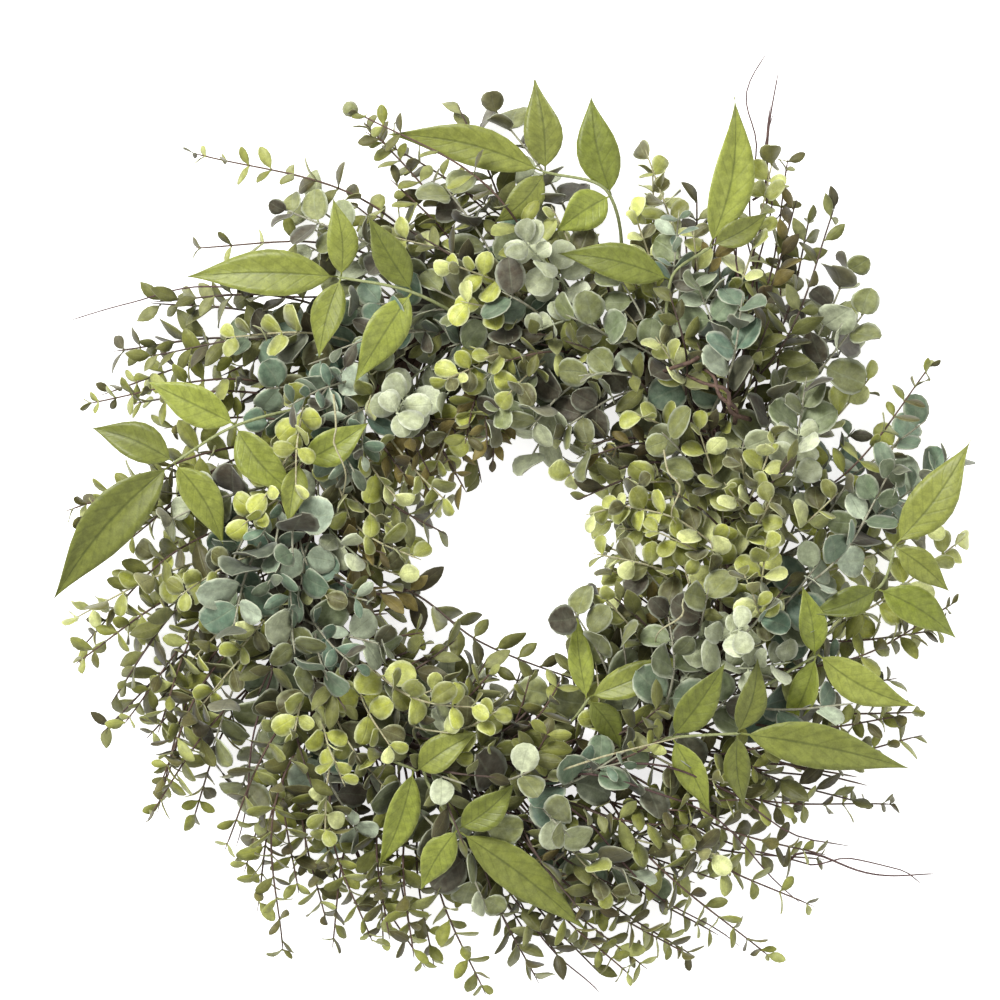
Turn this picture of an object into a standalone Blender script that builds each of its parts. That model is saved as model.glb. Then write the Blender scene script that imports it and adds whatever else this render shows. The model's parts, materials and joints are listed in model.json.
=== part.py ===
"""A eucalyptus wreath, lying on its back: leafy sprays and bare twigs tucked into a ring of twisted vine.

Metres, +Z up. The origin is on the surface that the wreath lies on, under the middle of its box.
"""

import math
import random
from collections import namedtuple

import bmesh
import bpy
import numpy as np
from mathutils import Vector
from mathutils.bvhtree import BVHTree

MM = 0.001
UP = Vector((0, 0, 1))

# The ring of vine that carries everything
RING_CENTRE = Vector((3.5 * MM, -17 * MM, 0))
RING_RADIUS = 148 * MM
VINE_THICK = 5.9 * MM  # radius at its root end
VINE_THIN = 4.9 * MM  # radius at its tip end
VINE_OFFSET = 6.9 * MM  # from the ring's core line to the middle of the vine
VINE_TURNS = 3
VINE_TWISTS = 7  # in all the turns together, so the turns lie side by side
VINE_STEPS = 34  # in one turn
VINE_SIDES = 6
TIE_RADIUS = 2.2 * MM  # the thin vine wound round the thick one
TIE_TURNS = 11
TIE_STEPS = 10  # in one of its turns
TIE_SIDES = 5
REST_SHAVE = 0.5 * MM  # what the flat spots underneath take off the thin vine
CLEAR = 0.4 * MM  # kept free between pieces that pass or touch each other
TIE_OFFSET = (VINE_OFFSET + VINE_THICK + CLEAR + TIE_RADIUS) / math.cos(math.pi / TIE_STEPS)
CORE_HEIGHT = TIE_OFFSET + TIE_RADIUS * math.cos(math.pi / TIE_SIDES) - REST_SHAVE
FLOOR_CLEAR = 2 * MM
CEILING = 104 * MM

# The way through the middle of the wreath
HOLE_CENTRE = RING_CENTRE + Vector((3 * MM, 8 * MM, 0))
HOLE_RADIUS = 43 * MM

# A blade's width rises and falls along its length as u**rise * (1 - u)**fall, after a stalk.
# Droop bends it down along its length and cup lifts its edges, both as shares of its size.
Shape = namedtuple("Shape", "rise fall stalk droop cup thick corners")
SHAPES = {
    "laurel": Shape(0.85, 1.30, 0.05, 0.15, 0.24, 1.2 * MM, (0.10, 0.30, 0.52, 0.78)),
    "dollar": Shape(0.50, 0.46, 0.08, 0.08, 0.12, 0.9 * MM, (0.20, 0.52, 0.84)),
    "young dollar": Shape(0.50, 0.46, 0.08, 0.08, 0.12, 0.9 * MM, (0.28, 0.80)),
    "baby": Shape(0.60, 0.44, 0.08, 0.10, 0.14, 0.8 * MM, (0.34, 0.80)),
    "olive": Shape(0.78, 0.86, 0.08, 0.12, 0.16, 0.9 * MM, (0.28, 0.68)),
    "willow": Shape(0.72, 0.62, 0.07, 0.12, 0.10, 0.8 * MM, (0.48,)),
}

# How each kind of spray grows: its leaves' shape, its stem's sides and radii, its pairs of leaves and
# where the first one is, the first leaf's length and width, and the last leaf's share of them. Splay is
# the angle between leaf and stem, turn is how far each pair is rolled round the stem from the last, face is
# how far the leaves' faces turn from up towards the stem's tip, arch is how high the stem bows, and spacing
# is the longest piece of stem without a section.
Kind = namedtuple("Kind", "shape sides thick thin pairs first length width small splay turn face arch spacing")
KINDS = {
    "laurel": Kind("laurel", 4, 1.8 * MM, 1.2 * MM, 0, 0, 0, 0, 1, 60, 0, 0, 12 * MM, 37 * MM),
    "dollar": Kind("dollar", 3, 1.5 * MM, 0.8 * MM, 4, 0.40, 30 * MM, 28 * MM, 0.62, 72, 60, 0.4, 12 * MM, 37 * MM),
    "baby": Kind("baby", 3, 1.3 * MM, 0.7 * MM, 4, 0.42, 23 * MM, 19 * MM, 0.60, 68, 70, 0.4, 10 * MM, 37 * MM),
    "frost": Kind("baby", 3, 1.4 * MM, 0.8 * MM, 3, 0.62, 22 * MM, 20 * MM, 0.80, 80, 80, 0.3, 8 * MM, 37 * MM),
    "olive": Kind("olive", 3, 1.3 * MM, 0.7 * MM, 6, 0.26, 29 * MM, 14 * MM, 0.55, 60, 40, 0.3, 10 * MM, 37 * MM),
    "willow": Kind("willow", 3, 1.2 * MM, 0.7 * MM, 6, 0.36, 25 * MM, 13 * MM, 0.44, 72, 75, 0.5, 12 * MM, 37 * MM),
    "twig": Kind("willow", 3, 1.5 * MM, 0.7 * MM, 0, 0, 0, 0, 1, 0, 0, 0, 10 * MM, 18 * MM),
}

# Laurel stems, read clockwise from the right of the wreath. A stem is where it leaves the ring, in
# degrees, and then its knots, each at an angle, a reach and a height (mm), with the leaves that grow
# there: the way each points in plan (degrees), its length and width (mm), and its tilt (degrees).
LAURELS = {
    "laurel_1": (330, ((354, 239, 62, ((329, 60, 25, 4), (200, 46, 20, 14))),
                       (361, 249, 70, ((55, 83, 30, 14), (320, 44, 20, 8))))),
    "laurel_2": (308, ((341, 210, 58, ((332, 72, 25, 2), (231, 56, 20, 6), (100, 46, 19, 16))),)),
    "laurel_3": (284, ((310, 160, 68, ((54, 60, 24, 20), (295, 56, 20, -8))),
                       (321, 190, 74, ((347, 112, 30, 2), (73, 50, 20, 22), (276, 50, 18, -12))))),
    "laurel_4": (268, ((297, 108, 56, ((96, 58, 17, 10), (25, 68, 22, 14), (305, 40, 19, -6))),)),
    "laurel_5": (232, ((259, 188, 62, ((322, 106, 28, -4), (41, 48, 23, 18), (238, 48, 22, -8))),)),
    "laurel_6": (220, ((246, 158, 64, ((252, 70, 22, -6), (34, 46, 23, 20))),)),
    "laurel_7": (138, ((156, 200, 66, ((155, 64, 26, 6), (310, 60, 26, 12), (52, 44, 22, 20))),
                       (166, 232, 60, ((229, 120, 35, -4), (156, 58, 26, 2), (301, 62, 24, 4))))),
    "laurel_8": (96, ((112, 182, 76, ((239, 68, 27, 8), (120, 56, 23, 10))),
                      (123, 213, 68, ((180, 98, 31, 2), (95, 50, 21, 14), (254, 54, 22, 6))))),
    "laurel_9": (52, ((75, 241, 50, ((104, 66, 28, 12), (214, 42, 27, 14))),
                      (86, 249, 56, ((167, 104, 27, 2), (97, 59, 26, 10), (226, 46, 22, 6))))),
    "laurel_10": (34, ((60, 203, 72, ((167, 74, 25, 6),)),
                       (57, 238, 66, ((79, 98, 29, 8), (32, 42, 18, 6))))),
    "laurel_11": (146, ((158, 152, 70, ((29, 50, 24, 14), (250, 46, 20, 4))),)),
}

# The other sprays, anticlockwise from the right. Each is where it leaves the ring (degrees), how far it
# is rolled round the ring there (0 outside, 90 on top, 180 inside), and the way of each of its shoots,
# as points at an angle, a reach and a height (mm) that end at its tip.
SPRAYS = {
    "willow": (
        (330, 10, ((353, 291, 26),)),
        (358, 30, ((24, 300, 34),)),
        (22, 20, ((55, 314, 20),)),
        (80, 30, ((110, 306, 46),)),
        (98, 20, ((129, 336, 30),), ((137, 292, 14),)),
        (132, 20, ((161, 296, 38),)),
        (164, 10, ((193, 295, 20),)),
        (174, 30, ((204, 281, 42),), ((214, 279, 16),)),
        (204, 20, ((240, 306, 22),), ((226, 275, 34),)),
        (220, 30, ((250, 274, 40),), ((258, 283, 14),)),
        (256, 20, ((285, 289, 32),)),
        (276, 20, ((302, 316, 20),), ((310, 306, 42),), ((315, 289, 20),)),
        (298, 10, ((326, 300, 26),)),
    ),
    "olive": (
        (172, 150, ((202, 74, 34), (250, 66, 38), (300, 104, 30))),
        (122, 10, ((152, 272, 26),)),
        (248, 10, ((276, 268, 26),)),
        (16, 40, ((47, 308, 42),)),
    ),
    "dollar": (
        (342, 60, ((12, 252, 54),), ((352, 216, 40),)),
        (8, 50, ((38, 238, 40),)),
        (30, 90, ((56, 212, 66),), ((64, 156, 64),)),
        (38, 150, ((68, 86, 56),)),
        (66, 140, ((97, 92, 60),), ((104, 160, 66),)),
        (94, 50, ((124, 270, 36),)),
        (118, 90, ((146, 162, 66),), ((142, 226, 44),)),
        (160, 60, ((188, 196, 52),)),
        (182, 140, ((216, 106, 62),), ((218, 188, 50),)),
        (214, 60, ((241, 212, 44),)),
        (222, 140, ((250, 104, 58),)),
        (240, 70, ((270, 214, 48),)),
        (270, 60, ((294, 236, 36),), ((300, 150, 62),)),
        (306, 110, ((334, 176, 44),), ((338, 108, 60),)),
    ),
    "baby": (
        (346, 150, ((24, 74, 64),), ((8, 92, 72),)),
        (356, 90, ((24, 186, 80),), ((34, 144, 78),)),
        (42, 70, ((70, 232, 52),)),
        (72, 90, ((102, 190, 82),)),
        (80, 150, ((112, 120, 76),), ((133, 76, 54),)),
        (136, 90, ((165, 148, 84),)),
        (172, 60, ((200, 192, 64),)),
        (212, 110, ((264, 104, 76),), ((238, 152, 80),)),
        (322, 90, ((354, 150, 84),)),
    ),
    "frost": (
        (112, 100, ((131, 118, 92),)),
        (324, 90, ((341, 156, 96),)),
        (72, 90, ((88, 200, 88),)),
    ),
    "twig": (
        (112, 0, ((141, 272, 30), (147.5, 306, 30), (153, 329, 24))),
        (30, 40, ((50, 243, 40), (56.5, 282, 42), (59.5, 309, 46), (63, 334, 42), (62.8, 366, 44)),
         ((61.3, 356, 58),), ((60, 338, 30),)),
        (286, 0, ((312.5, 284, 24), (317.5, 299, 32), (320.5, 330, 28), (320.3, 347, 16)), ((322.3, 352, 26),)),
        (250, 0, ((276, 268, 14), (280.5, 299, 20))),
    ),
}
FORKS = (0.21, 0.27)  # the shares of a leafy stem's length at which its further shoots leave it
TWIG_FORKS = (0.64, 0.50)  # the same for a bare twig
SEED = 428  # of the sprays' random turns
BUD_SPRAY = "willow_4"
BUD_RADIUS = 5 * MM
HEEL = 1.13  # how much thicker a stem is where it is tucked into the vine
KNOT_LENGTH = 2.3 * MM  # of stem, at each pair of leaves

# Where a stem's cut end may lie on the ring's vine: how far from what is asked, round the ring and round the
# vine (degrees), how much a turn round the vine and another side of it count against a place, along which
# part of a piece of vine, and how high over it (mm)
ROOT_REACH = 45
ROOT_ROLL = 110
ROLL_WEIGHT = 0.25
SIDE_WEIGHT = 4
ROOT_PART = (0.12, 0.62)
ROOT_LIFTS = (0.4, 0.55, 0.7, 0.85, 1.0, 1.15, 1.3)

# How a stem starts, and how much room it is given
STEM_LEAD = 13 * MM  # how far it follows the vine at first
STEM_LIFT = 5 * MM  # how far it rises off the vine meanwhile
SHOOT_LEAD = 9  # the length of a shoot's first bend, off its stem (mm)
BEND_LIMIT = 0.55  # the least cosine between two straight pieces of a stem that follow each other

# How many times a line or a leaf is tried, each time a little looser
STEM_TRIES = 28
SHOOT_TRIES = 40
PAIR_TRIES = 16
LAUREL_TRIES = 30

# How far a leaf may turn from what is wished, in degrees, and shrink, as a share of its size
LEAF_YAW = 28
LEAF_PITCH = 42
LEAF_ROLL = 45
LEAF_SHRINK = 0.3
LEAST_LEAN = 0.3  # the least cosine between a leaf and the way out of the side of the stem it grows from
TIP_LEAN = 0.45  # the least cosine between a laurel leaf and the stem that it ends

# Colour and roughness of each finish. None of them is metal.
FINISHES = {
    "vine": ((0.112, 0.076, 0.051), 0.85),
    "twig": ((0.107, 0.076, 0.061), 0.80),
    "laurel": ((0.262, 0.301, 0.076), 0.45),
    "dollar": ((0.122, 0.150, 0.098), 0.60),
    "baby": ((0.287, 0.323, 0.089), 0.55),
    "frost": ((0.423, 0.456, 0.270), 0.70),
    "olive": ((0.089, 0.089, 0.051), 0.55),
    "willow": ((0.150, 0.165, 0.054), 0.55),
}

Root = namedtuple("Root", "start end normal")
Leaf = namedtuple("Leaf", "base out along side normal length half_width shape")
Knot = namedtuple("Knot", "share roll leaves shoots")
Shoot = namedtuple("Shoot", "line lead out roll knots tip_leaf bud")


def plan(degrees, reach, height):
    """The point at this angle and reach (mm) from the ring's middle, at this height (mm)."""
    turn = math.radians(degrees)
    return RING_CENTRE + Vector((math.cos(turn) * reach * MM, math.sin(turn) * reach * MM, height * MM))


def round_core(turn, side, offset):
    """The point beside the ring's core line, and the way out of it: side is 0 outwards and pi / 2 up."""
    outward = Vector((math.cos(turn), math.sin(turn), 0))
    normal = math.cos(side) * outward + math.sin(side) * UP
    return RING_CENTRE + RING_RADIUS * outward + CORE_HEIGHT * UP + offset * normal, normal


def vine_section(step):
    """Middle, way out, way across and radius of the thick vine at one of its sections."""
    turn = step * math.tau / VINE_STEPS
    middle, normal = round_core(turn, turn * VINE_TWISTS / VINE_TURNS, VINE_OFFSET)
    across = Vector((-math.sin(turn), math.cos(turn), 0)).cross(normal)
    share = step / (VINE_TURNS * VINE_STEPS)
    return middle, normal, across, VINE_THICK + (VINE_THIN - VINE_THICK) * share


def side_of_vine(step, share, side):
    """The middle of one of the vine's six sides, part of the way from one section to the next, and the way
    out of it. Side 0 faces away from the ring's core line."""
    ends = []
    for section in (step, step + 1):
        middle, normal, across, radius = vine_section(section)
        angle = side * math.tau / VINE_SIDES
        out = math.cos(angle) * normal + math.sin(angle) * across
        ends.append((middle + out * radius * math.cos(math.pi / VINE_SIDES), out))
    return ends[0][0].lerp(ends[1][0], share), ends[0][1].lerp(ends[1][1], share).normalized()


def outline(shape, u):
    """A blade's half width at u along it, as a share of its widest."""
    inside = (u - shape.stalk) / (1 - shape.stalk)
    if not 0 < inside < 1:
        return 0.0
    peak = shape.rise / (shape.rise + shape.fall)
    widest = peak**shape.rise * (1 - peak) ** shape.fall
    return inside**shape.rise * (1 - inside) ** shape.fall / widest


def blade_point(leaf, u, v, lift):
    """A point of a leaf: u along it, v across it from -1 to 1, lifted off its middle surface."""
    half = leaf.half_width * max(outline(leaf.shape, u), 0.05)
    sag = -leaf.shape.droop * leaf.length * u * u
    height = sag + leaf.shape.cup * half * abs(v) + lift
    return leaf.base + leaf.along * leaf.length * u + leaf.side * half * v + leaf.normal * height


def blade_sections(leaf, spare=0.0):
    """The four corners of each of a blade's sections, left, top, right and bottom, with spare all round."""
    if spare:
        leaf = leaf._replace(half_width=leaf.half_width + spare)
    lift = leaf.shape.thick / 2 + spare
    return [
        [blade_point(leaf, u, *corner) for corner in ((-1, 0), (0, lift), (1, 0), (0, -lift))]
        for u in leaf.shape.corners
    ]


def closed_form(sections, ends):
    """Points and faces of a tube through the sections, closed by a point at each end, to test for room."""
    count = len(sections[0])
    points = [point for section in sections for point in section] + list(ends)
    faces = []
    for row in range(len(sections) - 1):
        for corner in range(count):
            low, high = row * count, (row + 1) * count
            after = (corner + 1) % count
            faces.append((low + corner, low + after, high + after))
            faces.append((low + corner, high + after, high + corner))
    last = (len(sections) - 1) * count
    for corner in range(count):
        after = (corner + 1) % count
        faces.append((after, corner, len(points) - 2))
        faces.append((last + corner, last + after, len(points) - 1))
    return points, faces


def blade_form(leaf, spare=0.0):
    """A whole leaf, from its stem to its tip."""
    tip = blade_point(leaf, 1, 0, 0) + leaf.along * spare
    reach = KNOT_LENGTH / 2 + spare
    spokes = (-leaf.side, leaf.normal, leaf.side, -leaf.normal)
    foot = [leaf.base + leaf.out * 0.2 * MM + spoke * reach for spoke in spokes]
    return closed_form([foot] + blade_sections(leaf, spare), (leaf.base, tip))


def blade_front(leaf, spare):
    """A leaf without the start of its stalk, to test against the stem that it grows from."""
    sections = blade_sections(leaf, spare)
    start = leaf.base.lerp(sum(sections[0], Vector()) / 4, 0.4)
    return closed_form(sections, (start, blade_point(leaf, 1, 0, 0)))


def tube_form(points, radii, spare=0.0):
    """A tube round a line of points that holds every stem of these radii."""
    sections = []
    for index, point in enumerate(points):
        tangent = (points[min(index + 1, len(points) - 1)] - points[max(index - 1, 0)]).normalized()
        sections.append(ring_corners(point, tangent, (radii[index] + spare) / math.cos(math.pi / 6), 0, 6))
    return closed_form(sections, (points[0], points[-1]))


def frame_of(tangent):
    """Two ways across a line: sideways, and as near to up as it can be."""
    side = (UP + Vector((0.21, 0.13, 0))).cross(tangent).normalized()
    return side, tangent.cross(side).normalized()


def way_across(tangent, roll):
    """The way across a line at this angle (degrees) round it."""
    side, upward = frame_of(tangent)
    return side * math.cos(math.radians(roll)) + upward * math.sin(math.radians(roll))


def ring_corners(point, tangent, radius, roll, sides):
    """The corners of a stem's section. The side after the first corner faces the roll."""
    angles = [roll + (index - 0.5) * 360 / sides for index in range(sides)]
    return [point + radius * way_across(tangent, angle) for angle in angles]


class Filled:
    """The space already taken, as a box and a face tree for each piece."""

    def __init__(self):
        self.low = np.empty((0, 3))
        self.high = np.empty((0, 3))
        self.trees = []

    def add(self, form):
        points = np.array(form[0])
        self.low = np.vstack([self.low, points.min(0)])
        self.high = np.vstack([self.high, points.max(0)])
        self.trees.append(BVHTree.FromPolygons(*form))
        return len(self.trees) - 1

    def free(self, form, skip=None):
        points = np.array(form[0])
        near = (self.low <= points.max(0)).all(1) & (self.high >= points.min(0)).all(1)
        tree = BVHTree.FromPolygons(*form)
        return not any(tree.overlap(self.trees[i]) for i in np.flatnonzero(near) if i != skip)

    def free_of(self, form, index):
        return not BVHTree.FromPolygons(*form).overlap(self.trees[index])


def has_room(form):
    """Whether a form stays between the surface and the ceiling, and out of the wreath's hole."""
    points = np.array(form[0])
    from_hole = np.hypot(points[:, 0] - HOLE_CENTRE.x, points[:, 1] - HOLE_CENTRE.y)
    return points[:, 2].min() > FLOOR_CLEAR and points[:, 2].max() < CEILING and from_hole.min() > HOLE_RADIUS


class Line:
    """A smooth line through points, measured along its length."""

    SPAN_STEPS = 10

    def __init__(self, knots):
        pull = [knots[1] - knots[0]]
        pull += [after - before for before, after in zip(knots, knots[2:])]
        pull.append(knots[-1] - knots[-2])
        self.points = [knots[0]]
        for index in range(len(knots) - 1):
            start, end = knots[index], knots[index + 1]
            third = (end - start).length / 3
            first = start + pull[index].normalized() * third
            second = end - pull[index + 1].normalized() * third
            for step in range(1, self.SPAN_STEPS + 1):
                u = step / self.SPAN_STEPS
                weights = ((1 - u) ** 3, 3 * u * (1 - u) ** 2, 3 * u * u * (1 - u), u**3)
                corners = (start, first, second, end)
                self.points.append(sum((w * c for w, c in zip(weights, corners)), Vector()))
        self.lengths = [0.0]
        for before, after in zip(self.points, self.points[1:]):
            self.lengths.append(self.lengths[-1] + (after - before).length)
        self.length = self.lengths[-1]

    def at(self, share):
        """The point at this share of the length, and the line's direction there."""
        goal = min(max(share, 0.0), 1.0) * self.length
        index = next(i for i in range(1, len(self.lengths)) if self.lengths[i] >= goal - 1e-9)
        start, end = self.points[index - 1], self.points[index]
        part = (goal - self.lengths[index - 1]) / (end - start).length
        return start.lerp(end, part), (end - start).normalized()


def roots_near(degrees, roll, filled, radius):
    """Free places on the ring's vine for the cut end of a stem, the nearest to what is asked first."""
    ranked = []
    for step in range(2, VINE_TURNS * VINE_STEPS - 5):
        turn = step * 360 / VINE_STEPS
        away = abs((turn + 6 - degrees + 180) % 360 - 180)
        for side in (0, 1, -1):
            facing = turn * VINE_TWISTS / VINE_TURNS + side * 360 / VINE_SIDES
            rolled = abs((facing - roll + 180) % 360 - 180)
            if away < ROOT_REACH and rolled < ROOT_ROLL:
                ranked.append((away + ROLL_WEIGHT * rolled + SIDE_WEIGHT * abs(side), step, side))
    for _, step, side in sorted(ranked):
        start, normal = side_of_vine(step, ROOT_PART[0], side)
        end, end_normal = side_of_vine(step, ROOT_PART[1], side)
        for lift in ROOT_LIFTS:
            out = radius + lift * MM
            root = Root(start + normal * out, end + end_normal * out, end_normal)
            if filled.free(tube_form([root.start, root.end], [radius] * 2, CLEAR * 0.8)):
                yield root
                break


def lines_from(root, way, arch, rng):
    """Lines from a root through the points of a way, each bent a little more than the last."""
    run = (root.end - root.start).normalized()
    for attempt in range(STEM_TRIES):
        loose = attempt * 1.1 * MM
        lead = root.end + run * (STEM_LEAD + rng.random() * loose)
        lead += root.normal * (STEM_LIFT + rng.random() * loose)
        knots = [root.start, root.end, lead]
        knots += [goal + Vector([rng.uniform(-loose, loose) / 2 for _ in range(3)]) for goal in way[:-1]]
        if len(way) == 1:
            knots.append(spiral(lead, way[0], rng.uniform(0.4, 0.6), arch + rng.uniform(-1, 1.5) * loose))
        yield Line(knots + [way[-1]])


def spiral(start, end, share, arch):
    """A point between two, on a curve that goes round the ring's middle."""
    first, last = start - RING_CENTRE, end - RING_CENTRE
    turn = math.atan2(first.y, first.x)
    sweep = (math.atan2(last.y, last.x) - turn + math.pi) % math.tau - math.pi
    reach = first.xy.length + (last.xy.length - first.xy.length) * share
    height = first.z + (last.z - first.z) * share + arch
    angle = turn + sweep * share
    return RING_CENTRE + Vector((math.cos(angle) * reach, math.sin(angle) * reach, height))


def ring_shares(line, lead, marks, kind):
    """Where a stem has its sections, as shares of its length, each with the mark it comes before or after.
    A stem has two sections at each mark, two along its lead, and enough between to follow its bends."""
    half = KNOT_LENGTH / 2 / line.length
    anchors = [(0.0, None)]
    if lead:
        anchors.append((lead, None))
    for mark in marks:
        anchors += [(mark - half, mark), (mark + half, None)]
    anchors.append((1.0, None))
    rings = [anchors[0]]
    for before, after in zip(anchors, anchors[1:]):
        count = max(1, round((after[0] - before[0]) * line.length / kind.spacing))
        rings += [(before[0] + (after[0] - before[0]) * i / count, None) for i in range(1, count)]
        rings.append(after)
    return rings[:-1]


def stem_space(line, lead, marks, kind, spare, skip=0):
    """The space round a stem, without its first sections if some are skipped."""
    shares = [share for share, _ in ring_shares(line, lead, marks, kind)][skip:] + [1.0]
    points = [line.at(share)[0] for share in shares]
    return tube_form(points, [thickness_at(share, kind) for share in shares], spare)


def bends_gently(line, lead, marks, kind):
    """Whether a stem's sections follow each other without a kink."""
    points = [line.at(share)[0] for share, _ in ring_shares(line, lead, marks, kind)] + [line.at(1)[0]]
    runs = [(after - before).normalized() for before, after in zip(points, points[1:])]
    return all(before.dot(after) > BEND_LIMIT for before, after in zip(runs, runs[1:]))


def thickness_at(share, kind):
    """The radius of a kind's stem at this share of its length."""
    return kind.thick + (kind.thin - kind.thick) * share


def pair_marks(kind):
    """Where the pairs of leaves of a spray are, as shares of its stem's length."""
    parts = [index / (kind.pairs - 1) for index in range(kind.pairs)]
    return [kind.first + (0.97 - kind.first) * part**0.92 for part in parts]


def stop_marks(line, stops):
    """Where the knots of a laurel stem are. The last one is at its end."""
    marks = []
    for stop in stops[:-1]:
        goal = plan(*stop[:3])
        marks.append(min(range(1, 100), key=lambda i: (line.at(i / 100)[0] - goal).length) / 100)
    return marks + [1 - KNOT_LENGTH / line.length]


def route_stem(degrees, side, way, kind, marks_of, filled, rng):
    """Finds a free line for a stem from the ring's vine, and takes its space."""
    for root in roots_near(degrees, side, filled, kind.thick):
        for line in lines_from(root, way, kind.arch, rng):
            lead = line.lengths[line.SPAN_STEPS] / line.length
            marks = marks_of(line)
            if marks[0] < lead + 0.04 or not bends_gently(line, lead, marks, kind):
                continue
            space = stem_space(line, lead, marks, kind, CLEAR, skip=2)
            if not has_room(space) or not filled.free(space):
                continue
            if filled.free(stem_space(line, lead, marks, kind, CLEAR * 0.75)):
                space = filled.add(stem_space(line, lead, marks, kind, 0))
                return line, lead, seat_roll(root, kind.sides), marks, space
    return None


def seat_roll(root, sides):
    """The roll of a stem's first sections, with a corner against the vine."""
    side, upward = frame_of((root.end - root.start).normalized())
    away = math.degrees(math.atan2(root.normal.dot(upward), root.normal.dot(side)))
    return away if sides % 2 else away + 180 / sides


def route_shoot(parent, parent_space, share, way, kind, marks, filled, rng):
    """Finds a free line for a shoot that leaves a stem at this share of its length, and takes its space."""
    point, tangent = parent.at(share)
    aim = way[0] - point
    across = (aim - tangent * aim.dot(tangent)).normalized()
    for attempt in range(SHOOT_TRIES):
        loose = attempt * 1.2 * MM
        out = turned(across, tangent, rng.uniform(-4, 4) * attempt)
        start = point + out * thickness_at(share, kind) * 0.6
        lead = start + (out * 0.8 + tangent * 0.6) * SHOOT_LEAD * MM
        knots = [start, lead, spiral(lead, way[0], 0.5, kind.arch * 0.5 + rng.uniform(-1, 2) * loose), way[0]]
        line = Line(knots)
        joint = line.lengths[line.SPAN_STEPS] / line.length
        if not bends_gently(line, joint, marks, kind):
            continue
        space = stem_space(line, joint, marks, kind, CLEAR)
        foot = tube_form([start.lerp(lead, 0.45), lead], [thickness_at(share, kind)] * 2, CLEAR)
        if not has_room(space) or not filled.free(space, skip=parent_space):
            continue
        beyond = stem_space(line, joint, marks, kind, CLEAR, skip=1)
        if filled.free_of(foot, parent_space) and filled.free_of(beyond, parent_space):
            return line, joint, out, filled.add(stem_space(line, joint, marks, kind, 0))
    return None


def turned(vector, axis, degrees):
    """The vector turned about an axis."""
    turn = math.radians(degrees)
    return (
        vector * math.cos(turn)
        + axis.cross(vector) * math.sin(turn)
        + axis * axis.dot(vector) * (1 - math.cos(turn))
    )


def make_leaf(base, out, along, facing, roll, length, width, shape):
    """A leaf from its base on one side of a stem, along a direction, facing as near as it can to a given
    way, then rolled."""
    along = along.normalized()
    lean = along.dot(out)
    if lean < LEAST_LEAN:
        along = (along + out * (LEAST_LEAN - lean)).normalized()
    side = turned(along.cross(facing).normalized(), along, roll)
    return Leaf(base, out, along, side, side.cross(along).normalized(), length, width / 2, shape)


def settle_leaf(wish, filled, stem, rng, tries):
    """Turns and shrinks a wished-for leaf step by step until it has room, and takes its space."""
    for attempt in range(tries):
        loose = attempt / max(tries - 1, 1)
        along = turned(wish.along, wish.side, rng.uniform(-LEAF_PITCH, LEAF_PITCH) * loose)
        along = turned(along, wish.normal, rng.uniform(-LEAF_YAW, LEAF_YAW) * loose)
        roll = rng.uniform(-LEAF_ROLL, LEAF_ROLL) * loose
        size = 1 - LEAF_SHRINK * loose * rng.random()
        width = wish.half_width * 2 * size
        leaf = make_leaf(wish.base, wish.out, along, wish.normal, roll, wish.length * size, width, wish.shape)
        form = blade_form(leaf, CLEAR)
        if not has_room(form) or not filled.free_of(blade_front(leaf, CLEAR / 2), stem):
            continue
        if filled.free(form, skip=stem):
            filled.add(blade_form(leaf))
            return leaf
    return None


def paired_leaves(line, marks, kind, sides, filled, stem, rng):
    """The knots of a stem whose leaves grow in pairs, each pair rolled round from the last."""
    knots = []
    for index, share in enumerate(marks):
        part = index / (kind.pairs - 1)
        point, tangent = line.at(share)
        upward = frame_of(tangent)[1]
        roll = kind.turn * (index % 2 - 0.3) + rng.uniform(-12, 12)
        size = 1 + (kind.small - 1) * part
        ring_roll = roll if sides == 4 else roll + 30
        leaves = []
        for way, face in ((roll, ring_roll), (roll + 180, ring_roll + (180 if sides == 4 else 120))):
            outward, out = way_across(tangent, way), way_across(tangent, face)
            lean = math.radians(kind.splay + rng.uniform(-10, 10) - 16 * part)
            along = outward * math.sin(lean) + tangent * math.cos(lean) + UP * rng.uniform(0.0, 0.2)
            base = point + out * thickness_at(share, kind) * math.cos(math.pi / sides)
            upright = (UP * 0.75 + upward * 0.35) * (1 - kind.face)
            facing = upright + tangent * (kind.face + rng.uniform(-0.25, 0.25))
            grown = size * rng.uniform(0.9, 1.08)
            wide = kind.width * grown * (1 - 0.12 * part)
            shape = SHAPES["young dollar" if kind.shape == "dollar" and part == 1 else kind.shape]
            wish = make_leaf(base, out, along, facing, rng.uniform(-20, 20), kind.length * grown, wide, shape)
            leaf = settle_leaf(wish, filled, stem, rng, PAIR_TRIES)
            if leaf:
                leaves.append(leaf)
        knots.append(Knot(share, ring_roll, leaves, []))
    return knots


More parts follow.
